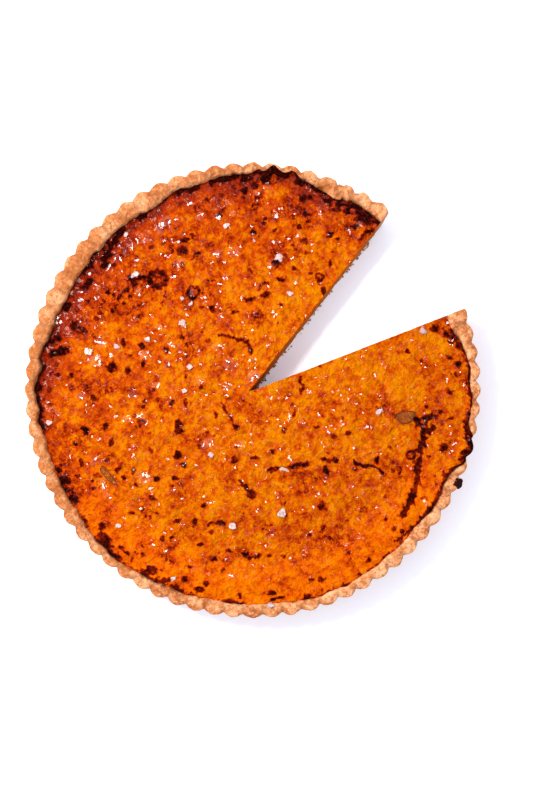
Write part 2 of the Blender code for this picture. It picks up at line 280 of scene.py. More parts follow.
def ring_between_cuts(radius_at, height_at, columns):
    """The angles of a ring that runs anticlockwise from the second cut to the first, and ends on both."""
    ends = []
    for second in (1, 0):
        reach, angle = INNER_RADIUS, float(NOTCH_ANGLES[second])
        for _ in range(5):
            x, y, _height = on_cut(reach, height_at(np.array([angle]))[0], second)
            angle = float(np.degrees(np.arctan2(y, x)))
            reach += float(radius_at(np.array([angle]))[0]) - float(np.hypot(x, y))
        ends.append(angle)
    return np.linspace(ends[0], ends[1] + 360, columns + 1)


# ---------------------------------------------------------------- meshes from rings


def piece(name, mesh, look):
    """A piece of the tart from a mesh."""
    mesh.shade_smooth()
    mesh.materials.append(look)
    made = bpy.data.objects.new(name, mesh)
    bpy.context.scene.collection.objects.link(made)
    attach(made, "root")
    return made


class Skin:
    """A mesh in the making, from rings and grids of points, each with values for its material."""

    def __init__(self, *names):
        self.names, self.values = names, {name: [] for name in names}
        self.points, self.faces, self.count = [], [], 0

    def add(self, points, *values):
        """Adds an array of points and gives their numbers, in the same arrangement."""
        numbers = self.count + np.arange(points[..., 0].size).reshape(points.shape[:-1])
        self.count += numbers.size
        self.points.append(points.reshape(-1, 3))
        for name, value in zip(self.names, values):
            self.values[name].append(np.broadcast_to(value, numbers.shape).reshape(-1))
        return numbers

    def stitch(self, lower, upper):
        """Joins two rings. The upper one is one point, or has as many steps as the lower, or half as many."""
        if len(upper) == 1:
            self.faces += [(a, b, upper[0]) for a, b in zip(lower, lower[1:])]
        elif len(upper) == len(lower):
            self.faces += list(zip(lower, lower[1:], upper[1:], upper))
        else:
            for k in range(len(upper) - 1):
                a, b, c = lower[2 * k : 2 * k + 3]
                self.faces += [(a, b, upper[k]), (upper[k], b, upper[k + 1]), (b, c, upper[k + 1])]

    def grid(self, rows):
        for lower, upper in zip(rows, rows[1:]):
            self.stitch(lower, upper)

    def plane(self, numbers):
        self.faces.append(tuple(numbers))

    def make(self, name, look):
        mesh = bpy.data.meshes.new(name)
        faces = [tuple(int(number) for number in face) for face in self.faces]
        mesh.from_pydata(np.concatenate(self.points).tolist(), [], faces)
        for value_name, blocks in self.values.items():
            layer = mesh.attributes.new(value_name, "FLOAT", "POINT")
            layer.data.foreach_set("value", np.concatenate(blocks).astype(np.float32))
        shape = bmesh.new()
        shape.from_mesh(mesh)
        bmesh.ops.recalc_face_normals(shape, faces=shape.faces)
        shape.to_mesh(mesh)
        shape.free()
        made = piece(name, mesh, look)
        mesh.set_sharp_from_angle(angle=radians(SHARP))
        return made


# ---------------------------------------------------------------- what baking did to the custard

# Charred spots, read off the photograph: pixel x and y, length and width in pixels, turn, char (1 is black)
CHAR = (
    # upper left
    (142, 215, 9, 7, 30, 0.95), (120, 227, 8, 6, 0, 0.9), (93, 251, 14, 8, 40, 0.7),
    (89, 265, 7, 7, 0, 0.75), (87, 283, 11, 8, 40, 0.9), (179, 190, 10, 8, 20, 0.97),
    (193, 187, 12, 6, 20, 0.9), (158, 196, 8, 6, 0, 0.9), (159, 188, 5, 4, 60, 0.7),
    (184.5, 239, 9, 6, 10, 0.95), (181, 250, 12, 10, 0, 0.72), (198, 253, 8, 6, 0, 0.6),
    (211, 243, 11, 6, 20, 0.5), (253.5, 231, 5, 5, 0, 0.85), (182, 264, 5, 8, 0, 0.6),
    (173, 263, 4, 7, 0, 0.6), (129.5, 278, 9, 7, 0, 0.85), (138, 277, 7, 3, 0, 0.8),
    (134, 285, 9, 9, 0, 0.55), (107, 292, 5, 4, 0, 0.9), (126, 289, 8, 5, 45, 0.9),
    (118, 296, 9, 4, 45, 0.8), (112, 308, 11, 8, 30, 0.6), (123, 302, 5, 4, 0, 0.7),
    (139, 315, 9, 6, 45, 0.6), (138, 305, 6, 3, 0, 0.75), (73, 325, 7, 8, 0, 0.92),
    (95, 318, 6, 6, 0, 0.6), (66, 306, 14, 5, 30, 0.9), (56, 310, 9, 5, 30, 0.9),
    (83, 269, 6, 10, 0, 0.7), (201, 307, 6, 5, 0, 0.6), (211, 308, 10, 4, -60, 0.8),
    (234, 312, 11, 3, 5, 0.85), (250, 298, 10, 5, 10, 0.9), (165, 294, 4, 8, 0, 0.65),
    (160, 305, 5, 12, -20, 0.45), (150, 246, 8, 5, 30, 0.45), (103, 301, 6, 6, 0, 0.6),
    (88, 300, 8, 5, 40, 0.6),
    # top
    (275, 171, 20, 9, -5, 1.0), (286, 174, 9, 8, 0, 1.0), (265, 178, 13, 9, 20, 0.97),
    (244, 177, 10, 8, 0, 0.97), (226, 179, 18, 5, 15, 0.92), (245, 190, 7, 8, 0, 0.9),
    (254, 184, 9, 7, 0, 0.8), (300, 182, 9, 6, -15, 0.97), (316, 184, 9, 6, -10, 0.97),
    (309.5, 197, 5, 5, 0, 0.97), (303, 197, 9, 6, 0, 0.75), (328, 200, 10, 4, 0, 0.92),
    (340, 203, 8, 7, 0, 1.0), (356, 206, 13, 6, -10, 0.97), (369, 206, 7, 8, 0, 0.95),
    (376, 204.5, 6, 2.5, 40, 1.0), (363, 218, 18, 12, -30, 0.75), (379, 221, 5, 8, 20, 0.98),
    (369, 231, 9, 4, 10, 0.95), (362, 237, 9, 5, 20, 0.7), (355, 226, 8, 6, 0, 0.85),
    (347, 211, 9, 6, 0, 0.8), (336, 209, 10, 6, 0, 0.7), (330, 234, 6, 6, 0, 0.88),
    (339, 238, 4, 4, 0, 0.85), (333, 250, 5, 4, 0, 0.6), (305.5, 212, 4, 8, 15, 0.88),
    (310.5, 213, 4, 4, 0, 0.65), (299, 226, 4, 5, 20, 0.88), (275, 229, 5, 4, 0, 0.88),
    (265, 218, 5, 3, 0, 0.75), (252.5, 204, 3, 4, 0, 0.75), (304, 240, 9, 8, 0, 0.68),
    (330, 263, 4, 6, 0, 0.88), (311, 272, 5, 4, 0, 0.8), (295, 268, 7, 4, -20, 0.85),
    (276.5, 262, 7, 5, 0, 0.82), (281, 278, 9, 6, 0, 0.78), (266, 283, 9, 5, 15, 0.72),
    (265, 294, 9, 6, 20, 0.85), (259, 316, 18, 17, 0, 0.45), (280, 304, 5, 4, 0, 0.85),
    (318, 279, 3, 8, 15, 0.75), (323.5, 291, 5, 11, 15, 0.97), (246.7, 342, 6, 5, 0, 0.92),
    (259, 288, 5, 4, 0, 0.6), (292, 244, 6, 4, 0, 0.55), (272, 250, 5, 4, 0, 0.5),
    # left
    (56, 339, 9, 7, 0, 0.88), (58, 351, 17, 8, 20, 1.0), (110, 367, 11, 9, 40, 0.87),
    (127, 371, 6, 9, 0, 0.82), (142.5, 364, 4, 7, 0, 0.85), (141, 345, 6, 8, 20, 0.82),
    (122, 342, 4, 9, 20, 0.75), (35.5, 387, 10, 11, 0, 1.0), (35.5, 404, 20, 8, 80, 1.0),
    (40, 425, 11, 6, -70, 0.97), (70, 376, 5, 4, 0, 0.9), (57, 375, 9, 4, 10, 0.72),
    (70, 387, 7, 7, 0, 0.6), (110, 390, 4, 6, 0, 0.65), (83.5, 429, 9, 6, -50, 1.0),
    (103.5, 426, 6, 6, 0, 0.78), (109.5, 443, 6, 6, 0, 1.0), (74.5, 444, 4, 4, 0, 0.95),
    (139.5, 422, 8, 7, 0, 0.65), (132.5, 417, 4, 6, 0, 0.75), (153, 389, 5, 5, 0, 0.8),
    (171.5, 403, 4, 5, 0, 0.9), (185.5, 403, 5, 8, 0, 0.72), (177.5, 427, 9, 14, 0, 0.98),
    (200, 388, 5, 5, 0, 0.8), (216, 416, 4, 8, 0, 1.0), (237, 428, 8, 6, -30, 1.0),
    (224, 407, 10, 4, -60, 0.75), (177, 455, 7, 7, 0, 1.0), (183, 466, 6, 6, 0, 0.98),
    (150, 451, 9, 4, -50, 0.88), (118, 468, 9, 5, 60, 0.88), (132.5, 472, 4, 6, 0, 0.8),
    (122.5, 478, 4, 5, 0, 0.9), (135, 485, 6, 5, -30, 0.95), (156, 479, 8, 5, -40, 0.95),
    (175, 478.5, 8, 4, 0, 0.95), (151.5, 499, 9, 4, -20, 0.8), (96.5, 475.5, 10, 5, -20, 0.62),
    (80.5, 463, 5, 8, 0, 0.8), (57.5, 470, 7, 7, 0, 0.85), (63, 481, 14, 9, -25, 1.0),
    (73.5, 500, 11, 7, -30, 0.98), (168, 366, 6, 5, 0, 0.6), (165, 350, 5, 8, 0, 0.6),
    (128, 355, 7, 5, 0, 0.55), (181, 337, 6, 4, 0, 0.75), (207, 340, 7, 5, 0, 0.5),
    # right and lower right
    (294.5, 414, 12, 3.5, 75, 0.75), (284, 430, 7, 6, 50, 0.8), (302.5, 389, 5, 6, 0, 0.95),
    (300, 381, 3, 10, 10, 0.7), (333, 436, 8, 5, 0, 0.72), (348, 433, 6, 5, 0, 0.95),
    (317, 428, 7, 4, 0, 0.6), (390, 448, 5, 4, 0, 0.7), (272, 453, 7, 5, 0, 0.8),
    (254, 458, 9, 4, 10, 0.92), (271.5, 470, 9, 5, 20, 0.88), (294.5, 467, 10, 6, 0, 0.9),
    (305.5, 465, 9, 6, 10, 0.95), (323, 459, 8, 4, 0, 0.8), (330, 461.5, 8, 5, 0, 0.88),
    (336, 461, 6, 7, 0, 0.97), (326, 470, 7, 8, 0, 0.92), (377, 460, 5, 6, 0, 0.92),
    (354.5, 470, 7, 5, 0, 0.65), (450, 391.5, 6, 5, 0, 0.95), (429, 417.5, 14, 7, 15, 0.98),
    (427, 407, 4, 5, 0, 0.88), (442, 411.5, 7, 4, -30, 0.8), (451.5, 418, 6, 4, 0, 0.8),
    (430, 457, 6, 4, -20, 0.92), (444, 448, 11, 7, 30, 1.0), (474, 400, 13, 6, 75, 1.0),
    (470.5, 388, 10, 3, 75, 0.95), (469, 430, 16, 3.5, -85, 0.92), (471, 445, 7, 6, 0, 0.98),
    (464, 452, 9, 4, 40, 0.9), (465.5, 464, 12, 4, 70, 0.98), (452, 475, 9, 4, 50, 0.85),
    (437, 504, 13, 7, 70, 1.0), (447, 494, 10, 4, 50, 0.92), (431, 511, 10, 5, 40, 0.97),
    (394, 530, 6, 5, 0, 0.88), (402, 531, 6, 4, 0, 0.88), (323, 506, 9, 8, 0, 0.65),
    (306, 516, 18, 9, 10, 0.45), (309, 536, 7, 4, 0, 0.72), (323, 528, 5, 5, 0, 0.68),
    (348, 521, 5, 4, 0, 0.65), (386, 519, 5, 4, 0, 0.8), (460, 345, 10, 8, 0, 0.98),
    (450, 357, 8, 6, 0, 0.9), (459, 364, 7, 6, 0, 0.9), (435, 328, 10, 7, -20, 0.85),
    (447, 334, 8, 7, 0, 0.75), (408, 351, 5, 5, 0, 0.85), (320, 366, 4, 4, 0, 0.9),
    (456, 374, 6, 5, 0, 0.8),
    # bottom
    (251, 495, 8, 9, 0, 1.0), (241, 483, 9, 5, -50, 0.88), (234, 459.5, 6, 8, 0, 0.95),
    (177, 521, 7, 6, 0, 0.95), (194, 523, 6, 10, 0, 0.95), (219.5, 524, 8, 7, 0, 1.0),
    (209.5, 524, 9, 4, 15, 0.75), (210.5, 533, 6, 4, 0, 0.85), (131.5, 514, 9, 4, -15, 0.85),
    (203, 506.5, 7, 6, 0, 0.9), (162, 539, 5, 6, 0, 0.9), (171, 539, 4, 3, 0, 0.85),
    (200, 545.5, 7, 4, 0, 0.95), (228.5, 551.5, 7, 3, -20, 0.8), (214.5, 560.5, 7, 3.5, 0, 0.95),
    (269, 556, 5, 4, 0, 0.9), (283.5, 557, 6, 4, 0, 0.85), (189, 568, 5, 3, 0, 0.8),
    (223, 571, 5, 4, 0, 0.7), (151.5, 571, 14, 8, -25, 0.98), (165, 581, 10, 7, -10, 1.0),
    (184, 580, 8, 8, 0, 0.75), (175.5, 588, 8, 12, 0, 1.0), (181, 596, 8, 4, -20, 0.95),
    (199.5, 590, 10, 6, 0, 1.0), (206, 585, 7, 5, 0, 0.85), (239, 596, 6, 6, 0, 0.75),
    (231, 603.5, 14, 7, -10, 0.98), (271.5, 594, 9, 5, 0, 0.95), (276, 599, 12, 2.5, 5, 0.92),
    (307, 597, 8, 6, 0, 1.0), (322, 579.5, 8, 5, 0, 0.88), (311.5, 580, 6, 3, 0, 0.7),
    (333, 594, 15, 3, 20, 0.9), (346, 587, 11, 3, 38, 0.9), (103, 539, 20, 10, -55, 1.0),
    (110, 555, 13, 8, -40, 1.0), (117, 558, 9, 6, 0, 0.98), (102, 527, 6, 8, 0, 0.88),
    (127, 553, 6, 4, -30, 0.85), (131.5, 561, 6, 4, -30, 0.72), (369, 561, 7, 4, 20, 0.8),
    (359, 575, 6, 4, 0, 0.75), (122, 549, 8, 5, -30, 0.7),
)
# Blisters with a dark ring round a red-brown middle: pixel x and y, diameter in pixels
RINGS = ((156.5, 278, 18), (193, 291, 12), (411.5, 455.5, 9), (452, 339, 9), (276.5, 262, 8), (320, 276, 8))
# Cracks and creases, as lines of pixels: width in pixels, depth in metres, char
LINES = (
    (((122, 227), (119, 233), (112, 242), (106, 254), (103, 265)), 4.5, 0.0010, 1.0),
    (((210, 181), (222, 179), (234, 175)), 4, 0.0004, 0.9),
    (((220, 335), (228, 336), (235, 338), (242, 339), (248, 343), (251, 350)), 3, 0.0006, 0.85),
    (((271, 470), (283, 469), (295, 467), (306, 465)), 2.5, 0.0008, 0.8),
    (((356, 464), (363, 466), (370, 466), (377, 468), (384, 474)), 2.5, 0.0006, 0.9),
    (((419, 420), (424, 428), (425, 436), (422.5, 446), (420, 452)), 5, 0.0012, 1.0),
    (((425, 436), (430, 431), (436, 428)), 4, 0.0008, 0.98),
    (
        ((420, 460), (419, 470), (419, 480), (416, 488), (412.5, 496), (409, 506), (403, 516)),
        5.5, 0.0014, 1.0,
    ),
    (((441, 494), (431, 513), (419, 526), (406, 534), (398, 541)), 3, 0.0006, 0.9),
    (((466, 425), (468, 445), (463, 465), (450, 478), (444, 492)), 2.5, 0.0004, 0.85),
    (((244, 555), (251, 558), (262, 557)), 3, 0.0006, 0.9),
    (((236, 428), (229, 417), (222, 404)), 2, 0.0003, 0.6),
    (((239, 482), (246, 487), (250, 494)), 3, 0.0004, 0.9),
    (((356, 600), (330, 596), (306, 600)), 2, 0.0003, 0.5),
    (((300, 378), (302, 385), (303, 390)), 2.5, 0.0003, 0.8),
)
# Wet lumps that catch the light: pixel x and y, length and width in pixels, turn
GLINTS = (
    (165, 220, 10, 6, 20), (199, 216, 7, 5, 0), (217, 215, 6, 4, 0), (232, 212, 4, 4, 0),
    (159, 229, 7, 7, 45), (147, 239, 7, 4, 0), (132, 247, 4, 4, 0), (124, 250, 4, 4, 0),
    (115, 256, 5, 4, 0), (178, 262, 10, 6, 20), (217, 252, 10, 4, 0), (234, 250, 9, 8, 0),
    (138, 291, 5, 6, 0), (107, 268, 6, 4, 30), (80, 300, 5, 4, 0), (191, 292, 4, 9, 10),
    (226, 276, 5, 4, 0), (220, 316, 5, 4, 30), (158, 327, 4, 4, 0), (100, 319, 4, 5, 0),
    (99, 342, 7, 9, 40), (93.5, 360, 10, 9, 0), (144, 355, 9, 6, 0), (171, 344, 5, 4, 0),
    (167, 366, 5, 5, 0), (199, 381, 6, 6, 0), (216, 346, 8, 4, 10), (230, 364, 11, 9, 0),
    (253, 375, 11, 7, 40), (228, 387, 6, 6, 0), (154, 385, 6, 5, 0), (131, 395, 7, 5, 0),
    (80, 396, 8, 5, 0), (140, 415, 9, 5, 10), (126, 419, 7, 5, 20), (207, 444, 11, 6, 45),
    (241, 446, 5, 6, 0), (134, 446, 6, 4, 30), (136, 460, 6, 3, 0), (93, 462, 5, 8, -20),
    (102, 486, 12, 3, -65), (108, 498, 11, 3, -60), (144, 478, 11, 8, -30), (172, 490, 4, 4, 0),
    (303, 423, 6, 3, -40), (328, 432, 4, 4, 0), (411, 443, 5, 3, 30), (364, 495, 4, 4, 0),
    (271, 537, 8, 3, 20), (306, 550, 5, 4, 0), (426, 502, 4, 4, 0), (320, 209, 3, 8, 10),
    (299, 233, 6, 3, 45), (359, 224, 6, 4, 0), (271, 264, 6, 5, 0), (298, 279, 4, 5, 0),
    (166, 553, 4, 4, 0), (230, 577, 6, 3, 0), (152, 547, 5, 3, 0), (252, 360, 6, 5, 0),
)
# Char along the crust: angles from and to, width in pixels, char
RIM_CHAR = (
    (0, 9, 3, 0.80), (9, 12, 4, 0.75), (13, 17, 5, 0.80), (52, 58, 5, 0.70), (58, 64, 5, 0.66),
    (64, 75, 3, 0.65), (75, 82, 6, 0.88), (82, 90, 9, 0.92), (90, 93, 4, 0.65), (94, 96, 5, 0.85),
    (96, 101, 3, 0.55), (101, 112, 1.5, 0.35), (112, 116, 3, 0.50), (116, 121, 1.5, 0.35),
    (121, 125, 3, 0.70), (125, 131, 1.5, 0.35), (131, 141, 1.5, 0.30), (141, 158, 1.5, 0.30),
    (158, 165, 1.5, 0.35), (165, 168, 4, 0.65), (168, 172, 2, 0.35), (172, 176, 4, 0.65),
    (176, 188, 4, 0.75), (188, 204, 2, 0.35), (204, 207, 4, 0.85), (207, 216, 1.5, 0.45),
    (216, 220, 4, 0.80), (220, 223, 2, 0.45), (223, 232, 5, 0.85), (232, 238, 2, 0.45),
    (238, 246, 5, 0.85), (247, 251, 4, 0.80), (252, 254.5, 4, 0.80), (255, 262, 1.5, 0.45),
    (262, 268, 3, 0.75), (268, 284, 1, 0.35), (284, 292, 2.5, 0.65), (292, 300, 1, 0.35),
    (300, 321, 2, 0.55), (321, 342, 3.5, 0.90), (325, 329, 6, 0.90), (342, 351, 5, 1.0),
    (351, 360, 4, 0.90),
)
# How far the rim's neighbourhood has browned: angle, spread, amount
BROWNING = (
    (12, 8, 0.10), (57, 8, 0.17), (75, 10, 0.16), (95, 10, 0.15), (115, 12, 0.12), (135, 12, 0.13),
    (155, 12, 0.14), (178, 11, 0.12), (246, 8, 0.02), (350, 8, 0.10),
)
BROWN_BAND = 0.012  # how far in from the rim that reaches
# An evenly brown band along the rim, from the first angles to the last
GLAZED_BAND, GLAZED_BROWNING = 0.0070, 0.09
GLAZED_STARTS, GLAZED_ENDS = (52, 60), (205, 225)
GLAZED_UNBURNT = 0.20  # how much less charred the edge is there
# Where the custard near the rim is a vivid orange: angles, and shares of the radius
VIVID_STARTS, VIVID_ENDS = (190, 232), (330, 346)
VIVID_SHARES = (0.70, 0.92)
LEFT_BROWNING = 0.085  # the upper left baked harder than the rest
LEFT_STARTS, LEFT_ENDS, LEFT_SLANT = 0.05, -0.15, 0.8
# Painted shade: an even, browner zone at the lower right inside the rim: amount, angle and spread, shares of
# the radius
RIGHT_SHADE, RIGHT_SHADE_ANGLES = 0.05, (300, 45)
RIGHT_SHADE_INSIDE, RIGHT_SHADE_OUTSIDE = (0.2, 0.5), (0.95, 0.8)
# Where char fades in and where its crag rises, in shares of a spot's radius or a band's width
SPOT_FADE, RIM_FADE, LINE_FADE, CRAG_SLOPE = (1.7, 0.3), (1.6, 0.2), (2.0, 0.3), (1.5, 0.4)
SPOT_LIFT, SPOT_LIFT_PER_PIXEL = 0.0002, 0.00009
RIM_LIFT, RIM_LIFT_PER_PIXEL = 0.0001, 0.00008
CRAG_ROUGHNESS = 0.8
RIM_FADE_OUT, RIM_FADE_IN = 1.5, 1  # degrees before and after the end of a stretch of the rim
# A blister's ring, its middle and its dome, in shares of its radius
RING_OUTSIDE, RING_INSIDE, RING_MIDDLE, RING_DOME = (1.5, 0.9), (0.3, 0.85), (1.1, 0.6), (1.3, 0.7)
RING_CHAR, RING_MIDDLE_CHAR, RING_LIFT = 0.78, 0.36, 0.0007
CRACK_SLOPE = (1.6, 0.2)
GLINT_GROWTH, GLINT_FADE, GLINT_DOME, GLINT_LIFT = 1.5, (1.2, 0.4), (1.0, 0.0), 0.00025


def near(x, y, spot, grow=1.0):
    """How far from the middle of an oval spot each point lies, as a share of the spot's own radius there."""
    px, py, length, width, turn = spot
    middle_x, middle_y = on_tart(px, py)
    along, across = cut_direction(turn), cut_direction(turn + 90)
    dx, dy = x - middle_x, y - middle_y
    u = (dx * along[0] + dy * along[1]) / (0.5 * length * PIXEL * grow)
    v = (dx * across[0] + dy * across[1]) / (0.5 * width * PIXEL * grow)
    return np.hypot(u, v)


def from_line(x, y, line):
    """The distance from each point to a line of pixels."""
    best = np.full_like(x, 1.0)
    corners = [np.array(on_tart(*corner)) for corner in line]
    for start, end in zip(corners, corners[1:]):
        run = end - start
        share = np.clip(((x - start[0]) * run[0] + (y - start[1]) * run[1]) / (run @ run), 0, 1)
        best = np.minimum(best, np.hypot(x - start[0] - share * run[0], y - start[1] - share * run[1]))
    return best


def stretch_of_rim(angle, start, end):
    """1 between two angles and 0 elsewhere, with short fades at both."""
    starting = step(start - RIM_FADE_OUT, start + RIM_FADE_IN, angle)
    return starting * step(end + RIM_FADE_OUT, end - RIM_FADE_IN, angle)


def baked(x, y):
    """The custard's fine relief, in metres, and how brown (with painted shade at the lower right), charred,
    wet and vivid each point is.
    """
    angle, radius = np.degrees(np.arctan2(y, x)) % 360, np.hypot(x, y)
    inset = custard_edge(angle) - radius
    ragged = mixed(x, y, RAGGED, 1)
    torn = ragged**2 * mixed(x, y, TORN, 1)
    bent_x, bent_y = mixed(x, y, BENT_X, x), mixed(x, y, BENT_Y, y)
    height = mixed(x, y, LUMPS)

    band = sum(amount * bell(angle, centre, spread) for centre, spread, amount in BROWNING)
    brown_and_shade = band * np.exp(-np.maximum(inset, 0) / BROWN_BAND)
    brown_and_shade += LEFT_BROWNING * step(LEFT_STARTS, LEFT_ENDS, x - LEFT_SLANT * y)
    glazed = sector(angle, GLAZED_STARTS, GLAZED_ENDS)
    brown_and_shade += GLAZED_BROWNING * glazed * np.exp(-np.maximum(inset, 0) / GLAZED_BAND)
    brown_and_shade += mixed(x, y, BROWN_CLOUDS)
    share = radius / INNER_RADIUS
    vivid = step(*VIVID_SHARES, share) * sector(angle, VIVID_STARTS, VIVID_ENDS)
    zone = step(*RIGHT_SHADE_INSIDE, share) * step(*RIGHT_SHADE_OUTSIDE, share)
    # painted shade: the lower right is browned a little, where the top slopes away from the light
    brown_and_shade += RIGHT_SHADE * zone * bell(angle, *RIGHT_SHADE_ANGLES)

    char, lift, wet = np.zeros_like(x), np.zeros_like(x), np.zeros_like(x)
    for px, py, length, width, turn, amount in CHAR:
        share = near(bent_x, bent_y, (px, py, length, width, turn)) * ragged
        char = np.maximum(char, amount * step(*SPOT_FADE, share))
        rise = SPOT_LIFT + SPOT_LIFT_PER_PIXEL * width
        lift = np.maximum(lift, amount * step(*CRAG_SLOPE, share) * rise)
    for start, end, width, amount in RIM_CHAR:
        along = amount * stretch_of_rim(angle, start, end)
        share = inset / (width * PIXEL) * torn
        char = np.maximum(char, along * step(*RIM_FADE, share) * (1 - GLAZED_UNBURNT * glazed))
        rise = RIM_LIFT + RIM_LIFT_PER_PIXEL * width
        lift = np.maximum(lift, along * step(*CRAG_SLOPE, share) * rise)
    height += lift * (1 + CRAG_ROUGHNESS * mixed(x, y, ROUGH))
    for px, py, size in RINGS:
        share = near(bent_x, bent_y, (px, py, size, size, 0)) * (0.8 + 0.2 * ragged)
        ring = RING_CHAR * step(*RING_OUTSIDE, share) * step(*RING_INSIDE, share)
        char = np.maximum(char, np.maximum(ring, RING_MIDDLE_CHAR * step(*RING_MIDDLE, share)))
        height += RING_LIFT * step(*RING_DOME, share)
    for line, width, depth, amount in LINES:
        share = from_line(bent_x, bent_y, line) / (0.5 * width * PIXEL) * torn
        char = np.maximum(char, amount * step(*LINE_FADE, share))
        height -= depth * step(*CRACK_SLOPE, share)
    for glint in GLINTS:
        share = near(bent_x, bent_y, glint, GLINT_GROWTH)
        wet = np.maximum(wet, step(*GLINT_FADE, share))
        height += GLINT_LIFT * step(*GLINT_DOME, share)
    return height, brown_and_shade, char, wet, vivid


def custard_top(x, y):
    """The height of the custard's top, and how brown (with painted shade at the lower right), charred, wet
    and vivid each point is.
    """
    height, *look = baked(x, y)
    return custard_height(x, y) + height, *look


# ---------------------------------------------------------------- the custard


def side_row(row):
    """One ring of the custard's side: functions that give its height and its radius at an angle.

    The rows go up the crust's inner wall, out over the rim where the custard spilled, and up to its top edge.
    """

    def height_at(angle):
        edge = custard_edge(angle)
        around = np.radians(angle)
        top = custard_top(edge * np.cos(around), edge * np.sin(around))[0]
        low = np.minimum(top - 0.0008, rim_height(angle) - 0.0002)
        up_wall = min(row / CUSTARD_LIP_ROW, 1)
        up_edge = max(row - CUSTARD_LIP_ROW - 1, 0) / (CUSTARD_SIDE_ROWS - CUSTARD_LIP_ROW - 1)
        return CUSTARD_BOTTOM + up_wall * (low - CUSTARD_BOTTOM) + up_edge * (top - low)

    def radius_at(angle):
        share = np.clip((height_at(angle) - BASE_THICKNESS) / (CRUST_HEIGHT - BASE_THICKNESS), 0, 1)
        wall = inner_radius(angle) - INNER_LEAN * (1 - share) + CUSTARD_PRESS
        return wall if row <= CUSTARD_LIP_ROW else custard_edge(angle)

    return height_at, radius_at


def cut_relief(reach, height, far, second):
    """How far the cut's face stands out of the knife's plane, as a vector for each point."""
    direction = cut_direction(NOTCH_ANGLES[second] - 90 if second else NOTCH_ANGLES[second] + 90)
    pores = [(depth, size, seed + second) for depth, size, seed in CUT_PORES]
    rise = mixed(reach, height, pores) * step(0, 0.004, reach) * step(0, 0.003, far - reach)
    return rise[..., None] * np.array((*direction, 0))


def make_custard(look):
    skin = Skin("brown_and_shade", "char", "wet", "vivid", "cut")
    side, reaches, ends = [], [], []
    for row in range(CUSTARD_SIDE_ROWS + 1):
        height_at, radius_at = side_row(row)
        angle = ring_between_cuts(radius_at, height_at, CUSTARD_COLUMNS)
        points = polar(angle, radius_at(angle), height_at(angle))
        if row > CUSTARD_LIP_ROW:
            side.append(skin.add(points, *baked(points[:, 0], points[:, 1])[1:], 0))
        else:
            side.append(skin.add(points, 0, 0, 0, 0, 1))
        reaches.append([np.hypot(*(points[end, :2] - NOTCH_APEX)) for end in (0, -1)])
        ends.append([points[end, 2] for end in (0, -1)])
    skin.grid(side)

    edge = points[:, :2]
    count = round(INNER_RADIUS / CUSTARD_SPACING)
    shares = [1 - k / count for k in range(count + 1)]
    rings, stride = [side[-1]], 1
    for share in shares[1:-1]:
        if share * stride < 0.5 and stride < WIDEST_STRIDE:
            stride *= 2
        x, y = (NOTCH_APEX + share * (edge[::stride] - NOTCH_APEX)).T
        height, *baking = custard_top(x, y)
        ring = np.stack((x, y, height), axis=-1)
        for end, second in ((0, 1), (-1, 0)):
            reach = share * reaches[-1][0 if second else 1]
            knife = on_cut(reach, height[end], second)
            ring[end] = knife + cut_relief(np.array(reach), height[end], INNER_RADIUS, second)
        rings.append(skin.add(ring, *baking, 0))
    height, *baking = custard_top(*NOTCH_APEX[:, None])
    apex = on_cut(0, height[0], 0)
    rings.append(skin.add(apex[None], *baking, 0))
    skin.grid(rings)

    tops = np.concatenate(skin.points)[:, 2]
    rises = np.array(ends)[:, 0]
    rises = (rises - rises[0]) / (rises[-1] - rises[0])
    apex_heights = CUSTARD_BOTTOM + rises[:-1] * (apex[2] - CUSTARD_BOTTOM)
    apex_column = skin.add(on_cut(0, apex_heights, 0), 0, 0, 0, 0, 1)
    bottoms = []
    for end, second in ((0, 1), (-1, 0)):
        top_line = np.array([ring[end] for ring in rings])
        far = np.array(reaches)[:-1, 0 if second else 1]
        shares_inside = np.array(shares[1:-1])
        reach = far[:, None] * shares_inside
        height = CUSTARD_BOTTOM + rises[:-1, None] * (tops[top_line[1:-1]] - CUSTARD_BOTTOM)
        face = on_cut(reach, height, second) + cut_relief(reach, height, far[:, None], second)
        inside = skin.add(face, 0, 0, 0, 0, 1)
        rows = [[side[row][end], *inside[row], apex_column[row]] for row in range(CUSTARD_SIDE_ROWS)]
        skin.grid([*rows, list(top_line)])
        bottoms.append(rows[0])
    skin.plane([*side[0][1:-1], *bottoms[1], *bottoms[0][-2::-1]])

    custard = skin.make("baked_custard", look)
    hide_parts("filling")
    return custard


# ---------------------------------------------------------------- the crust


def crust_path(angle):
    """The crust's section, from the foot over the rim to the base's corner, as radii and heights."""
    outer, inner, top = outer_radius(angle), inner_radius(angle), rim_height(angle)
    width = outer - inner
    drop, drop_inside = (
        np.minimum(most, share * width) for most, share in (CROWN_DROP, CROWN_DROP_INSIDE)
    )
    foot = outer - FOOT_INSET
    path = [(foot - FOOT_CHAMFER, 0 * angle)]
    for share in np.linspace(0, 1, CRUST_WALL_ROWS + 1):
        path.append((foot + share * FOOT_INSET, FOOT_CHAMFER + share * (top - drop - FOOT_CHAMFER)))
    for turn in np.linspace(0, pi / 2, CRUST_CROWN_ROWS + 1)[1:]:
        across = CREST + (1 - CREST) * cos(turn) ** CROWN_POWER
        path.append((inner + across * width, top - drop + drop * sin(turn) ** CROWN_POWER))
    for turn in np.linspace(0, pi / 2, CRUST_CROWN_ROWS + 1)[1:]:
        across = CREST * (1 - sin(turn))
        lift = drop_inside * cos(turn) ** CROWN_POWER_INSIDE
        path.append((inner + across * width, top - drop_inside + lift))
    rows_down = 2 * CRUST_MIDDLE_ROW - CRUST_CUT_ROWS - (len(path) - 1)
    for share in np.linspace(0, 1, rows_down + 1)[1:] ** WALL_POWER:
        wall_top = top - drop_inside
        path.append((inner - share * INNER_LEAN, wall_top + share * (BASE_THICKNESS - wall_top)))
    return path


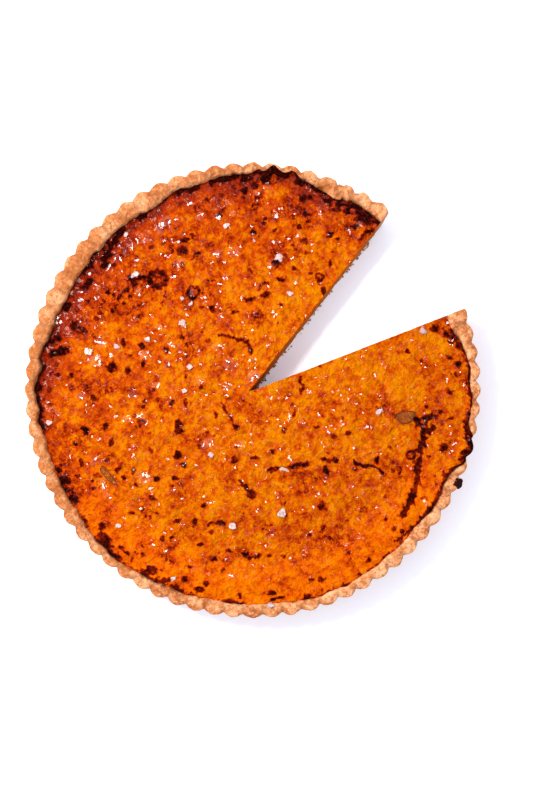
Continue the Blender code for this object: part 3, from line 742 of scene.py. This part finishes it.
def crust_relief(angle, along):
    """How far the pastry stands out of its plain form, by angle and by distance along its section."""
    arc = np.radians(angle) * CRUST_RADIUS
    crumbled = bell(angle, CRUMBLED_ANGLE, CRUMBLED_SPREAD)
    return mixed(arc, along, PASTRY_GRAIN) + crumbled * mixed(arc, along, CRUMBLED_GRAIN)


STAIN_FULL_WIDTH = 6  # of the char beside it, in pixels


def rim_stain_and_shade(angle):
    """How dark the crust is beside the custard: stained by its burnt edge, and with painted shade on the
    inner side on the left.
    """
    angle = angle % 360
    stain_and_shade = SHADED_INSIDE[2] * bell(angle, *SHADED_INSIDE[:2])
    for start, end, width, amount in RIM_CHAR:
        reach = min(1, width / STAIN_FULL_WIDTH)
        stain_and_shade = np.maximum(stain_and_shade, stretch_of_rim(angle, start, end) * amount * reach)
    return stain_and_shade


def crust_shell():
    """The crust's rings of points, from the foot over the rim and down to the base's corner."""
    rings = []
    for row in range(2 * CRUST_MIDDLE_ROW - CRUST_CUT_ROWS + 1):

        def radius_at(angle, row=row):
            return crust_path(angle)[row][0]

        def height_at(angle, row=row):
            return crust_path(angle)[row][1]

        angle = ring_between_cuts(radius_at, height_at, CRUST_COLUMNS)
        rings.append(polar(angle, radius_at(angle), height_at(angle)))
    shell = np.array(rings)
    out = np.cross(np.gradient(shell, axis=1), np.gradient(shell, axis=0))
    out /= np.linalg.norm(out, axis=-1, keepdims=True)
    steps = np.linalg.norm(np.diff(shell, axis=0), axis=-1)
    along = np.concatenate((np.zeros((1, shell.shape[1])), np.cumsum(steps, axis=0)))
    angle = np.degrees(np.arctan2(shell[..., 1], shell[..., 0]))
    row = np.arange(len(shell))
    kept = step(0, 2, row) * step(0, 4, len(shell) - 1 - row)
    return shell + out * (kept[:, None] * crust_relief(angle, along))[..., None], angle


def make_crust(look):
    skin = Skin("cut", "stain_and_shade", "toast", "valley_shade")
    shell, angle = crust_shell()
    last = len(shell) - 1
    beside = step(CRUST_MIDDLE_ROW, CRUST_MIDDLE_ROW + 7, np.arange(last + 1))
    # the inner side's stain beside the burnt custard, with painted shade on the left
    stain_and_shade = rim_stain_and_shade(angle) * beside[:, None]
    toast = np.maximum(bell(angle, *TOASTED), 0.9 * bell(angle, CRUMBLED_ANGLE, 1.6 * CRUMBLED_SPREAD))
    # painted shade: the flutes' valleys on the outer wall are darkened, for the shade that falls in them
    valley_shade = (1 - scallop(angle)) ** 2 * (1 - beside[:, None])
    rings = skin.add(shell, 0, stain_and_shade, toast * (0.75 + 0.25 * beside[:, None]), valley_shade)
    skin.grid(rings)

    levels = np.linspace(0, BASE_THICKNESS, CRUST_CUT_ROWS + 1)
    apex_column = skin.add(on_cut(0, levels, 0), 1, 0, 0, 0)
    inside = np.linspace(0, 1, CRUST_CUT_COLUMNS + 2)[1:-1, None]
    bottoms, floors = [], []
    for end, second in ((0, 1), (-1, 0)):
        corner = shell[last, end]
        far = np.hypot(*(corner[:2] - NOTCH_APEX))
        count = round(far / CRUST_CUT_SPACING)
        reach = far * np.arange(1, count + 1) / count
        reach, height = np.broadcast_arrays(reach, levels[:, None])
        rough = BASE_ROUGHNESS * cut_relief(reach, height, far + 0.004, second)
        base = skin.add(on_cut(reach, height, second) + rough, 1, 0, 0, 0)
        base[-1, -1] = rings[last, end]
        base_rows = [[start, *row] for start, row in zip(apex_column, base)]
        skin.grid(base_rows)
        bottoms.append(base_rows[0])
        floors.append(base_rows[-1])

        points = np.concatenate(skin.points)
        left = [*base[:-1, -1], *rings[last : CRUST_MIDDLE_ROW : -1, end]]
        right = rings[:CRUST_MIDDLE_ROW, end]
        rows = []
        for start, stop in zip(left, right):
            line = points[start] + inside * (points[stop] - points[start])
            spot = np.hypot(*(line[:, :2] - NOTCH_APEX).T)
            line = line + WALL_ROUGHNESS * cut_relief(spot, line[:, 2], CRUST_RADIUS * 2, second)
            rows.append([start, *skin.add(line, 1, 0, 0, 0), stop])
        skin.grid(rows)
        skin.stitch(rows[-1], [rings[CRUST_MIDDLE_ROW, end]])
    skin.plane([*rings[0, 1:-1], rings[0, -1], *bottoms[1][:0:-1], *bottoms[0], rings[0, 0]])
    skin.plane([*rings[last, :-1], *floors[1][:0:-1], *floors[0][:-1]])

    crust = skin.make("pastry_shell", look)
    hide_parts("crust")
    return crust


# ---------------------------------------------------------------- small pieces

# Flakes of salt: pixel x and y, length and width in mm, turn
SALT = (
    (226, 225, 4.5, 3.5, 20), (280, 257, 6.5, 5, 40), (136, 273, 7, 3.5, 10), (126, 234, 4, 3, 70),
    (290, 292, 4, 3.5, 0), (183, 323, 5, 4.5, 30), (181, 298, 3, 2.5, 20), (190, 303, 3, 2.5, 60),
    (147, 339, 3.5, 3, 80), (116, 346, 4.5, 3, 160), (87, 351, 4.5, 5, 15), (189, 366, 4, 4, 50),
    (183, 391, 4, 3, 0), (48, 423, 4.5, 4, 60), (211, 455, 4, 3.5, 20), (282, 514, 7, 5.5, 35),
    (231, 526, 5, 4.5, 0), (118, 526, 4.5, 3, 15), (379, 412, 6.5, 4, 35), (284, 470, 5.5, 2.5, 150),
    (424, 330, 5.5, 4.5, 150), (173, 579, 3.5, 3, 30), (79, 300, 2.5, 2, 0), (89, 273, 2.5, 2, 40),
)
RIM_SALT = (269.7, 605.7, 5, 3.5, 5)
SHARDS, SHARD_SIDES = 3, 5
SHARD_THICKNESS = 0.0006
SHARD_UNEVENNESS, SHARD_RADII = 0.35, (0.75, 1.15)  # of its corners: in angle, and as shares of its size
SHARD_SIZES, SHARD_SPREAD = (0.7, 1.05), 0.20  # shares of the flake's size
SHARD_LIFT, SHARD_STACK = 0.0002, 0.00030
SHARD_TILT, SHARD_TWIST = 0.28, 0.5
SHARD_TOP = 0.9  # how much narrower the top is


def shard(skin, middle, size, turn, tilt_x, tilt_y, random):
    """One thin plate with an uneven outline, leaning a little."""
    uneven = random.uniform(-SHARD_UNEVENNESS, SHARD_UNEVENNESS, SHARD_SIDES)
    angles = 2 * pi * (np.arange(SHARD_SIDES) + uneven) / SHARD_SIDES
    radii = random.uniform(*SHARD_RADII, SHARD_SIDES)
    u, v = size[0] / 2 * radii * np.cos(angles), size[1] / 2 * radii * np.sin(angles)
    x, y = rotated((u, v), turn)
    lean = tilt_x * x + tilt_y * y
    top = np.stack((SHARD_TOP * x, SHARD_TOP * y, lean + SHARD_THICKNESS / 2), axis=-1)
    bottom = np.stack((x, y, lean - SHARD_THICKNESS / 2), axis=-1)
    upper, lower = skin.add(middle + top), skin.add(middle + bottom)
    skin.plane(upper)
    skin.plane(lower[::-1])
    for k in range(SHARD_SIDES):
        after = (k + 1) % SHARD_SIDES
        skin.plane((lower[k], lower[after], upper[after], upper[k]))


def make_salt(look):
    """Flakes of sea salt: each a little heap of thin plates."""
    random = np.random.default_rng(7)
    skin = Skin()
    for px, py, length, width, turn in (*SALT, RIM_SALT):
        x, y = on_tart(px, py)
        height = float(custard_top(np.array([x]), np.array([y]))[0][0])
        if (px, py) == RIM_SALT[:2]:
            height = float(rim_height(np.degrees(np.arctan2(y, x))))
        size = np.array((length, width)) / 1000
        for number in range(SHARDS):
            away = random.uniform(-SHARD_SPREAD, SHARD_SPREAD, 2) * size
            x_away, y_away = rotated(away, radians(turn))
            lift = SHARD_LIFT + SHARD_STACK * number
            middle = np.array((x + x_away, y + y_away, height + lift))
            tilt = random.uniform(-SHARD_TILT, SHARD_TILT, 2)
            lie = radians(turn) + random.uniform(-SHARD_TWIST, SHARD_TWIST)
            shard(skin, middle, size * random.uniform(*SHARD_SIZES), lie, *tilt, random)
    salt = skin.make("salt_flakes", look)
    return salt


def rotated(point, turn):
    x, y = point
    return x * cos(turn) - y * sin(turn), x * sin(turn) + y * cos(turn)


# Thin see-through bits in the skin: pixel x and y, length and width in pixels, turn
ONION_BITS = ((406, 417, 20, 13, 10), (107, 476, 25, 6.5, -50))
ONION_RINGS, ONION_SIDES, ONION_THICKNESS = 8, 40, 0.0004
ONION_FOLLOWS = 0.6  # how closely a bit follows the relief under it, as a share
ONION_LIFT, ONION_CURL = 0.8, 1.2  # of its middle and of its edge, in thicknesses


def make_onion_bits(look):
    """Thin curved scales that lie on the custard and follow its relief."""
    skin = Skin("edge")
    for number, (px, py, length, width, turn) in enumerate(ONION_BITS):
        x, y = on_tart(px, py)
        angles = np.linspace(0, 2 * pi, ONION_SIDES + 1)
        uneven = 1 + 0.12 * np.sin(3 * angles + number) + 0.07 * np.sin(5 * angles + 2 * number)
        rings = []
        for under in (False, True):
            for share in np.linspace(0, 1, ONION_RINGS + 1)[1:] if not under else (1.0, 0.5):
                u = share * 0.5 * length * PIXEL * uneven * np.cos(angles)
                v = share * 0.5 * width * PIXEL * uneven * np.sin(angles)
                at_x, at_y = rotated((u, v), radians(turn))
                height = custard_top(x + at_x, y + at_y)[0]
                height = ONION_FOLLOWS * height + (1 - ONION_FOLLOWS) * height.mean()
                height += ONION_THICKNESS * (ONION_LIFT + ONION_CURL * share**4 - 1.6 * under)
                points = np.stack((x + at_x, y + at_y, height), axis=-1)
                rings.append(skin.add(points[:-1], share))
        closed = [[*ring, ring[0]] for ring in rings]
        skin.grid(closed)
        skin.plane(rings[0])
        skin.plane(rings[-1])
    bits = skin.make("onion_bits", look)
    return bits


def make_burnt_drop(look):
    """The lump of charred custard that hangs over the rim."""
    angle, radius, length, width = BURNT_DROP
    shape = bmesh.new()
    made = bmesh.ops.create_icosphere(shape, subdivisions=5, radius=0.5)
    for vertex in made["verts"]:
        lumps = 1 + sum(depth * noise.noise(vertex.co * often) for depth, often in BURNT_DROP_LUMPS)
        x, y, z = vertex.co
        vertex.co = Vector((x * width, y * length, z * width * BURNT_DROP_FLATNESS)) * lumps
    height = float(rim_height(np.array([angle]))[0]) - BURNT_DROP_SUNK
    place = polar(np.array(angle), radius, height)
    bmesh.ops.rotate(shape, verts=made["verts"], matrix=Matrix.Rotation(radians(angle), 3, "Z"))
    bmesh.ops.translate(shape, verts=made["verts"], vec=place)
    drop = finished("burnt_drop", shape, look)
    return drop


CRUMBS = 80
CRUMB_SIZES = (0.0004, 0.0014)
# Every third crumb lies in a heap at the rim, the rest along the cut and mostly near its point, in metres
CRUMB_HEAP_PLACE, CRUMB_HEAP_SPREAD = 0.1165, 0.004
CRUMBS_START, CRUMBS_REACH, CRUMBS_POWER = 0.004, 0.120, 1.8
CRUMB_STRAY = 0.0004  # how far they lie from the cut's foot
CRUMB_BUMPS, CRUMB_STRETCH = 0.45, (0.7, 1.2)


def make_crumbs(look):
    """Crumbs that fell from the cut, on the floor of the notch at the foot of its second face."""
    random = np.random.default_rng(12)
    shape = bmesh.new()
    back = cut_direction(NOTCH_ANGLES[1] - 90)
    for number in range(CRUMBS):
        if number % 3 == 0:
            reach = random.normal(CRUMB_HEAP_PLACE, CRUMB_HEAP_SPREAD)
        else:
            reach = CRUMBS_START + CRUMBS_REACH * random.uniform() ** CRUMBS_POWER
        size = random.uniform(*CRUMB_SIZES)
        away = size * 0.3 + CRUMB_STRAY * random.exponential() * min(1, reach / 0.02)
        spot = on_cut(reach, 0, 1)[:2] + away * back
        made = bmesh.ops.create_icosphere(shape, subdivisions=2, radius=size / 2)
        stretch = random.uniform(*CRUMB_STRETCH, 3)
        start = random.uniform(0, 50, 3)
        lowest = 0
        for vertex in made["verts"]:
            bump = 1 + CRUMB_BUMPS * noise.noise(vertex.co * (1.6 / size) + Vector(start))
            vertex.co = Vector(stretch * np.array(vertex.co) * bump)
            lowest = min(lowest, vertex.co.z)
        bmesh.ops.translate(shape, verts=made["verts"], vec=(*spot, -lowest))
    crumbs = finished("crumbs", shape, look)
    return crumbs


def finished(name, shape, look):
    """A piece of the tart from a bmesh."""
    mesh = bpy.data.meshes.new(name)
    shape.to_mesh(mesh)
    shape.free()
    return piece(name, mesh, look)


# ---------------------------------------------------------------- looks


# The noise is turned, so that its grid doesn't show on the top
NOISE_AXIS, NOISE_TURN = (0.62, 0.48, 0.62), 0.9


class Look:
    """A material in the making: short names for the nodes that the looks below share."""

    def __init__(self, name):
        self.material = bpy.data.materials.new(name)
        self.material.use_nodes = True
        self.nodes, self.links = self.material.node_tree.nodes, self.material.node_tree.links
        self.shader = self.nodes["Principled BSDF"]
        self.places = self.node("TexCoord").outputs["Object"]
        turned = self.node("VectorRotate", Vector=self.places, Axis=NOISE_AXIS, Angle=NOISE_TURN)
        self.turned = turned.outputs["Vector"]

    def set(self, **values):
        for name, value in values.items():
            self.shader.inputs[name.replace("_", " ")].default_value = value

    def link(self, source, name):
        self.links.new(source, self.shader.inputs[name])

    def feed(self, socket, term):
        """Links an output to an input, or sets the input to a value."""
        if isinstance(term, bpy.types.NodeSocket):
            self.links.new(term, socket)
        else:
            socket.default_value = term

    def node(self, kind, **inputs):
        """A node, with its inputs linked or set by their names."""
        node = self.nodes.new("ShaderNode" + kind)
        for name, term in inputs.items():
            self.feed(node.inputs[name.replace("_", " ")], term)
        return node

    def worked(self, kind, operation, *terms):
        """A node that works something out, with its inputs linked or set in their order."""
        node = self.node(kind)
        node.operation = operation
        for socket, term in zip(node.inputs, terms):
            self.feed(socket, term)
        return node.outputs

    def math(self, operation, *terms):
        return self.worked("Math", operation, *terms)["Value"]

    def vectors(self, operation, *terms):
        return self.worked("VectorMath", operation, *terms)["Vector"]

    def value(self, name):
        node = self.node("Attribute")
        node.attribute_name = name
        return node.outputs["Fac"]

    def noise(self, size, detail=3.0, roughness=0.55, shift=0.0):
        place = self.vectors("ADD", self.turned, (shift, shift, shift))
        return self.node(
            "TexNoise", Vector=place, Scale=1 / size, Detail=detail, Roughness=roughness
        ).outputs["Fac"]

    def cells(self, size, sway, *push):
        """Cells with swaying borders: their texture node and their random colour's channels."""
        swaying = self.node("TexNoise", Vector=self.places, Scale=sway / size).outputs["Color"]
        moved = self.vectors("MULTIPLY_ADD", swaying, [part * size for part in push], self.places)
        cells = self.node("TexVoronoi", Vector=moved, Scale=1 / size)
        return cells, self.node("SeparateColor", Color=cells.outputs["Color"]).outputs

    def facets(self, size, lean_x, lean_y, spread):
        """Little facets that lean one way, by up to half the spread more or less.

        Their height, in metres, and the random part of their lean, from -0.5 to 0.5.
        """
        cells, chance = self.cells(size, 2, 0.8, 0.8, 0)
        cells.voronoi_dimensions = "2D"
        away = self.vectors("SUBTRACT", self.places, cells.outputs["Position"])
        rise = self.worked("VectorMath", "DOT_PRODUCT", away, (lean_x, lean_y, 0))["Value"]
        amount = self.math("SUBTRACT", chance["Green"], 0.5)
        lean = self.math("MULTIPLY_ADD", amount, spread, 1.0)
        return self.math("MULTIPLY", rise, lean), amount

    def spots(self, size, crowd, softness):
        """Uneven round spots, from 0 outside to 1 in the middle. The more crowd, the more and larger."""
        cells, chance = self.cells(size, 2.2, 0.9, 0.9, 0.9)
        radius = self.math("ADD", self.math("SUBTRACT", crowd, chance["Red"]), 0.10)
        inside = self.math("SUBTRACT", self.math("MINIMUM", radius, 0.55), cells.outputs["Distance"])
        return self.between(inside, 0.0, softness)

    def between(self, source, low, high, start=0.0, end=1.0):
        node = self.node("MapRange", Value=source, From_Min=low, From_Max=high, To_Min=start, To_Max=end)
        node.interpolation_type = "SMOOTHSTEP"
        return node.outputs["Result"]

    def ramp(self, source, stops):
        node = self.node("ValToRGB", Fac=source)
        while len(node.color_ramp.elements) < len(stops):
            node.color_ramp.elements.new(1.0)
        for element, (position, colour) in zip(node.color_ramp.elements, stops):
            element.position = position
            element.color = (*linear(colour), 1)
        return node.outputs["Color"]

    def mix(self, share, first, second):
        node = self.node("Mix")
        node.data_type = "RGBA"
        self.feed(node.inputs["Factor"], share)
        for name, term in (("A", first), ("B", second)):
            socket = next(i for i in node.inputs if i.name == name and i.type == "RGBA")
            self.feed(socket, (*linear(term), 1) if isinstance(term, str) else term)
        return next(o for o in node.outputs if o.type == "RGBA")

    def bump(self, height, distance, before=None):
        node = self.node("Bump", Distance=distance, Height=height)
        if before is not None:
            self.feed(node.inputs["Normal"], before)
        return node.outputs["Normal"]


def linear(colour):
    """An sRGB colour such as FF9500 as three linear values."""
    parts = [int(colour[i : i + 2], 16) / 255 for i in (0, 2, 4)]
    return [part / 12.92 if part < 0.04045 else ((part + 0.055) / 1.055) ** 2.4 for part in parts]


# Colours by how far they have baked, on a scale from 0 to 1
CUSTARD_COLOURS = ((0.0, "D27C02"), (0.20, "C86802"), (0.36, "B94702"), (0.52, "9B2A03"))
VIVID_COLOURS = ((0.0, "DC7A01"), (0.20, "D66401"), (0.36, "C84D02"), (0.52, "A42E03"))
BURNT_COLOURS = ((0.65, "7C1A03"), (0.78, "541005"), (0.90, "340804"), (1.0, "180404"))
INSIDE_COLOURS = ((0.3, "A04A14"), (0.5, "B45A1A"), (0.7, "C46C22"))
PASTRY_COLOURS = ((0.41, "DEA474"), (0.5, "CA8450"), (0.57, "B26838"), (0.65, "8C4A20"))
CRUMB_COLOURS = ((0.3, "84522C"), (0.5, "A4744A"), (0.7, "B88E64"))
SPECK_COLOUR, PALE_COLOUR, TOAST_COLOUR = "8E481E", "E0AE8C", "A45A24"
# the stain colour is the burnt edge's stain on the crust, with painted shade on the rim's inner side on the
# left
# the valley colour is painted shade for the flutes' valleys
VALLEY_SHADE_COLOUR, STAIN_AND_SHADE_COLOUR = "8E4C22", "4A1A08"
# How much each pattern adds to the custard's baking
# the curds weight is painted shade: it lightens the curds' raised tops and darkens the hollows between them
NOISE_WEIGHTS = {"patches": 0.42, "mottle": 0.78, "fine": 0.34, "curds_and_hollow_shade": -0.45}
SPOT_WEIGHTS = {"large": 0.20, "middling": 0.32, "small": 0.24, "crease": 0.17}
BROWN_WEIGHT, PLAIN_BAKE, CHAR_WEIGHT = 1.25, 0.26, 0.60
LARGE_SPOT, MIDDLING_SPOT, SMALL_SPOT = 0.0085, 0.0044, 0.0025
FACET_SIZE, FACET_LEAN = 0.0016, (0.29, -0.18)
OILY_WEIGHT, OILY_LESS_IF_VIVID = 0.42, 0.85


def custard_look():
    look = Look("squash_custard")
    look.set(IOR=1.42, Specular_IOR_Level=0.0, Coat_Roughness=0.08, Coat_IOR=1.5)
    patches, mottle = look.noise(0.0150, 2.0, 0.5), look.noise(0.0048, 2.0, 0.5, shift=0.3)
    fine, curds_and_hollow_shade = look.noise(0.0015, 3.0, 0.65, shift=0.7), look.noise(0.0028, 3.0, 0.6, shift=1.1)
    # the brown value holds the browning and the painted shade at the lower right
    brown_and_shade, char, cut = look.value("brown_and_shade"), look.value("char"), look.value("cut")
    crowd = look.math("MULTIPLY_ADD", brown_and_shade, 1.3, look.math("MULTIPLY_ADD", patches, 1.3, -0.50))
    large = look.spots(LARGE_SPOT, look.math("MULTIPLY", crowd, 0.55), 0.08)
    middling = look.spots(MIDDLING_SPOT, crowd, 0.08)
    small = look.spots(SMALL_SPOT, crowd, 0.12)
    weights = NOISE_WEIGHTS
    uneven = look.math("MULTIPLY_ADD", patches, weights["patches"], -weights["patches"] / 2)
    # painted shade: the noise that raises the curds' bump also makes its hollows darker and its tops lighter
    for name, pattern in (("mottle", mottle), ("fine", fine), ("curds_and_hollow_shade", curds_and_hollow_shade)):
        around_none = look.math("MULTIPLY_ADD", pattern, weights[name], -weights[name] / 2)
        uneven = look.math("ADD", uneven, around_none)
    wrinkle = look.math("ABSOLUTE", look.math("SUBTRACT", look.noise(0.0075, 3.0, 0.6, shift=2.1), 0.5))
    crease = look.math("MULTIPLY", look.between(wrinkle, 0.04, 0.0), look.between(crowd, 0.10, 0.45))
    for weight, spots in zip(SPOT_WEIGHTS.values(), (large, middling, small, crease)):
        uneven = look.math("MULTIPLY_ADD", spots, weight, uneven)
    even = look.between(brown_and_shade, 0.10, 0.27, 1.0, 0.45)
    bake = look.math("MULTIPLY_ADD", brown_and_shade, BROWN_WEIGHT, PLAIN_BAKE)
    bake = look.math("MULTIPLY_ADD", uneven, even, bake)
    crisp = look.noise(0.0020, 2.0, 0.6, shift=1.6)
    edges = look.between(char, 0.05, 0.40)
    black = look.math("MULTIPLY_ADD", look.math("MULTIPLY_ADD", crisp, 1.5, -0.75), edges, char)
    bake = look.math("MULTIPLY_ADD", look.between(black, 0.08, 0.95), CHAR_WEIGHT, bake)
    bake = look.math("MINIMUM", look.math("MAXIMUM", bake, 0.0), 1.0)
    ashes = look.math("MULTIPLY_ADD", fine, 0.6, -0.35)
    bake = look.math("MULTIPLY_ADD", ashes, look.between(bake, 0.75, 1.0), bake)
    top = look.ramp(bake, (*CUSTARD_COLOURS, *BURNT_COLOURS))
    grain = look.math("MULTIPLY_ADD", mottle, 0.6, look.math("MULTIPLY", fine, 0.4))
    inside = look.ramp(grain, INSIDE_COLOURS)
    vivid = look.value("vivid")
    top = look.mix(vivid, top, look.ramp(bake, (*VIVID_COLOURS, *BURNT_COLOURS)))
    look.link(look.mix(cut, top, inside), "Base Color")
    wet = look.value("wet")
    facets, sway = look.facets(FACET_SIZE, *FACET_LEAN, look.math("MULTIPLY_ADD", wet, -0.8, 1.3))
    wet = look.math("MULTIPLY", wet, look.between(fine, 0.39, 0.45))
    facing = look.between(look.math("ABSOLUTE", sway), 0.11, 0.08)
    oily = look.math("MULTIPLY", facing, look.between(mottle, 0.525, 0.565, 0.0, OILY_WEIGHT))
    oily = look.math("MULTIPLY", oily, look.math("MULTIPLY_ADD", vivid, -OILY_LESS_IF_VIVID, 1.0))
    gloss = look.math("MAXIMUM", wet, look.math("MULTIPLY", oily, look.between(cut, 1.0, 0.0)))
    sheen = look.between(look.math("SUBTRACT", brown_and_shade, cut), 0.10, 0.26, 0.008, 0.10)
    sheen = look.math("MULTIPLY", sheen, look.between(bake, 0.90, 0.60))
    look.link(look.math("MULTIPLY_ADD", gloss, look.between(bake, 1.02, 0.85), sheen), "Coat Weight")
    look.link(look.math("MAXIMUM", look.between(wet, 0.0, 0.7, 0.45, 0.20), cut), "Roughness")
    normal = look.bump(crease, -0.0004, look.bump(curds_and_hollow_shade, 0.0036))
    look.link(look.bump(fine, 0.0006, normal), "Normal")
    look.link(look.bump(facets, 1.0), "Coat Normal")
    return look.material


def pastry_look():
    look = Look("shortcrust")
    look.set(IOR=1.4, Specular_IOR_Level=0.2)
    patches, mottle = look.noise(0.012), look.noise(0.0036, shift=0.3)
    fine = look.noise(0.0016, 3.0, 0.7, shift=0.7)
    bake = look.math("MULTIPLY_ADD", patches, 0.5, look.math("MULTIPLY", mottle, 0.5))
    colour = look.ramp(bake, PASTRY_COLOURS)
    specks = look.math("MULTIPLY", look.between(fine, 0.53, 0.64), 0.70)
    colour = look.mix(specks, colour, SPECK_COLOUR)
    pale = look.math("MULTIPLY", look.between(fine, 0.47, 0.35), 0.65)
    colour = look.mix(pale, colour, PALE_COLOUR)
    toast = look.math("MULTIPLY", look.value("toast"), look.between(patches, 0.38, 0.60, 0.40, 0.90))
    colour = look.mix(toast, colour, TOAST_COLOUR)
    # painted shade in the flutes' valleys
    colour = look.mix(look.math("MULTIPLY", look.value("valley_shade"), 0.70), colour, VALLEY_SHADE_COLOUR)
    # the burnt edge's stain on the crust, and painted shade on the rim's inner side on the left
    stain_and_shade = look.math("MULTIPLY_ADD", mottle, 0.6, look.math("SUBTRACT", look.value("stain_and_shade"), 0.3))
    colour = look.mix(look.between(stain_and_shade, 0.20, 0.90), colour, STAIN_AND_SHADE_COLOUR)
    grain = look.math("MULTIPLY_ADD", fine, 0.5, look.math("MULTIPLY", mottle, 0.5))
    crumb = look.ramp(grain, CRUMB_COLOURS)
    # the underside is no cut, so only faces that don't look down have the crumb's colour
    normal = look.node("NewGeometry").outputs["True Normal"]
    upward = look.node("SeparateXYZ", Vector=normal).outputs["Z"]
    cut = look.math("MULTIPLY", look.value("cut"), look.between(upward, -0.9, -0.6))
    look.link(look.mix(cut, colour, crumb), "Base Color")
    look.set(Roughness=0.75)
    normal = look.bump(look.noise(0.0026, 4.0, shift=1.1), 0.0016)
    normal = look.bump(fine, 0.0004, normal)
    look.link(normal, "Normal")
    return look.material


def salt_look():
    look = Look("sea_salt")
    look.set(IOR=1.5, Roughness=0.22, Transmission_Weight=0.20)
    frost = look.noise(0.0012)
    look.link(look.ramp(frost, ((0.35, "B89690"), (0.65, "DCC6C2"))), "Base Color")
    look.link(look.bump(frost, 0.0003), "Normal")
    return look.material


def onion_look():
    look = Look("baked_onion")
    look.set(IOR=1.15, Roughness=0.12, Transmission_Weight=0.85, Specular_IOR_Level=0.2)
    veins = look.noise(0.0025, 3.0)
    skin = look.ramp(veins, ((0.35, "B47630"), (0.6, "D8984A")))
    look.link(look.mix(look.between(look.value("edge"), 0.75, 0.98), skin, "A86430"), "Base Color")
    look.link(look.bump(veins, 0.0005), "Normal")
    return look.material


def charcoal_look():
    look = Look("burnt_custard")
    look.set(Roughness=0.5, Specular_IOR_Level=0.05)
    lumps = look.noise(0.0016, 3.0)
    look.link(look.ramp(lumps, ((0.4, "120403"), (0.6, "2E0C08"))), "Base Color")
    look.link(look.bump(lumps, 0.0012), "Normal")
    return look.material


def floor_look():
    look = Look("white_table")
    look.set(Base_Color=(0.91, 0.955, 0.99, 1), Roughness=0.7, Specular_IOR_Level=0.2)
    look.set(Emission_Color=(0.76, 0.80, 1.0, 1), Emission_Strength=TABLE_GLOW)
    return look.material


# ---------------------------------------------------------------- floor, light and camera

KEY_PLACE, KEY_SIZE, KEY_POWER, KEY_COLOUR = (-0.42, 0.26, 0.64), 0.22, 7.0, (1.0, 0.98, 0.93)
SKY = (0.94, 0.93, 1.0)
# Strengths of the sky: round about, overhead, and how much more on the window's side
SKY_LOW, SKY_ZENITH, SKY_WINDOW_SIDE = 1.42, 0.40, 0.40
ZENITH_STARTS, ZENITH_ENDS = 0.80, 0.93  # sines of height above the horizon
TABLE_SIZE, TABLE_GLOW = 6, 0.20


def make_floor():
    bpy.ops.mesh.primitive_plane_add(size=TABLE_SIZE, location=(0, 0, 0))
    floor = bpy.context.object
    floor.name = "table"
    floor.data.materials.append(floor_look())


def make_window():
    """A round soft lamp that looks at the tart's middle."""
    light = bpy.data.lights.new("window", "AREA")
    light.shape = "DISK"
    light.size, light.energy, light.color = KEY_SIZE, KEY_POWER, KEY_COLOUR
    lamp = bpy.data.objects.new("window", light)
    bpy.context.scene.collection.objects.link(lamp)
    lamp.location = KEY_PLACE
    lamp.rotation_euler = (-lamp.location).to_track_quat("-Z", "Y").to_euler()


def make_sky():
    """A soft sky, darker overhead and brighter on the window's side."""
    world = bpy.data.worlds.new("studio")
    world.use_nodes = True
    nodes, links = world.node_tree.nodes, world.node_tree.links
    direction = nodes.new("ShaderNodeTexCoord").outputs["Generated"]
    parts = nodes.new("ShaderNodeSeparateXYZ")
    links.new(direction, parts.inputs[0])
    height = nodes.new("ShaderNodeMapRange")
    links.new(parts.outputs["Z"], height.inputs["Value"])
    ends = (ZENITH_STARTS, ZENITH_ENDS, SKY_LOW, SKY_ZENITH)
    for name, value in zip(("From Min", "From Max", "To Min", "To Max"), ends):
        height.inputs[name].default_value = value
    side = nodes.new("ShaderNodeVectorMath")
    side.operation = "DOT_PRODUCT"
    side.inputs[1].default_value = (-SKY_WINDOW_SIDE * cos(pi / 4), SKY_WINDOW_SIDE * sin(pi / 4), 0)
    links.new(direction, side.inputs[0])
    strength = nodes.new("ShaderNodeMath")
    strength.operation = "ADD"
    links.new(height.outputs["Result"], strength.inputs[0])
    links.new(side.outputs["Value"], strength.inputs[1])
    background = nodes["Background"]
    background.inputs["Color"].default_value = (*SKY, 1)
    links.new(strength.outputs["Value"], background.inputs["Strength"])
    bpy.context.scene.world = world
    bpy.context.scene.view_settings.view_transform = "Standard"


def make_camera():
    """Straight above the tart. One pixel of the frame covers PIXEL metres at the height of the rim."""
    data = bpy.data.cameras.new("camera")
    data.lens = LENS
    camera = bpy.data.objects.new("camera", data)
    bpy.context.scene.collection.objects.link(camera)
    right, up = FRAME_WIDTH / 2 - MIDDLE[0], MIDDLE[1] - FRAME_HEIGHT / 2
    distance = FRAME_HEIGHT * PIXEL * LENS / data.sensor_width
    camera.location = (right * PIXEL, up * PIXEL, CRUST_HEIGHT + distance)
    bpy.context.scene.camera = camera


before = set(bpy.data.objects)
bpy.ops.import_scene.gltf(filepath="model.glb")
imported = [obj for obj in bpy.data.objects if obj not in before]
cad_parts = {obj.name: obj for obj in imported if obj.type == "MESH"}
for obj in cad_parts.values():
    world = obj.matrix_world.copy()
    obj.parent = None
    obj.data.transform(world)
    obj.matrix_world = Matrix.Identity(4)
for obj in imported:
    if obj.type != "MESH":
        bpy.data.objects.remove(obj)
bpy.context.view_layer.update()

pastry = pastry_look()
make_custard(custard_look())
make_crust(pastry)
make_salt(salt_look())
make_onion_bits(onion_look())
make_burnt_drop(charcoal_look())
make_crumbs(pastry)
make_floor()
make_window()
make_sky()
make_camera()
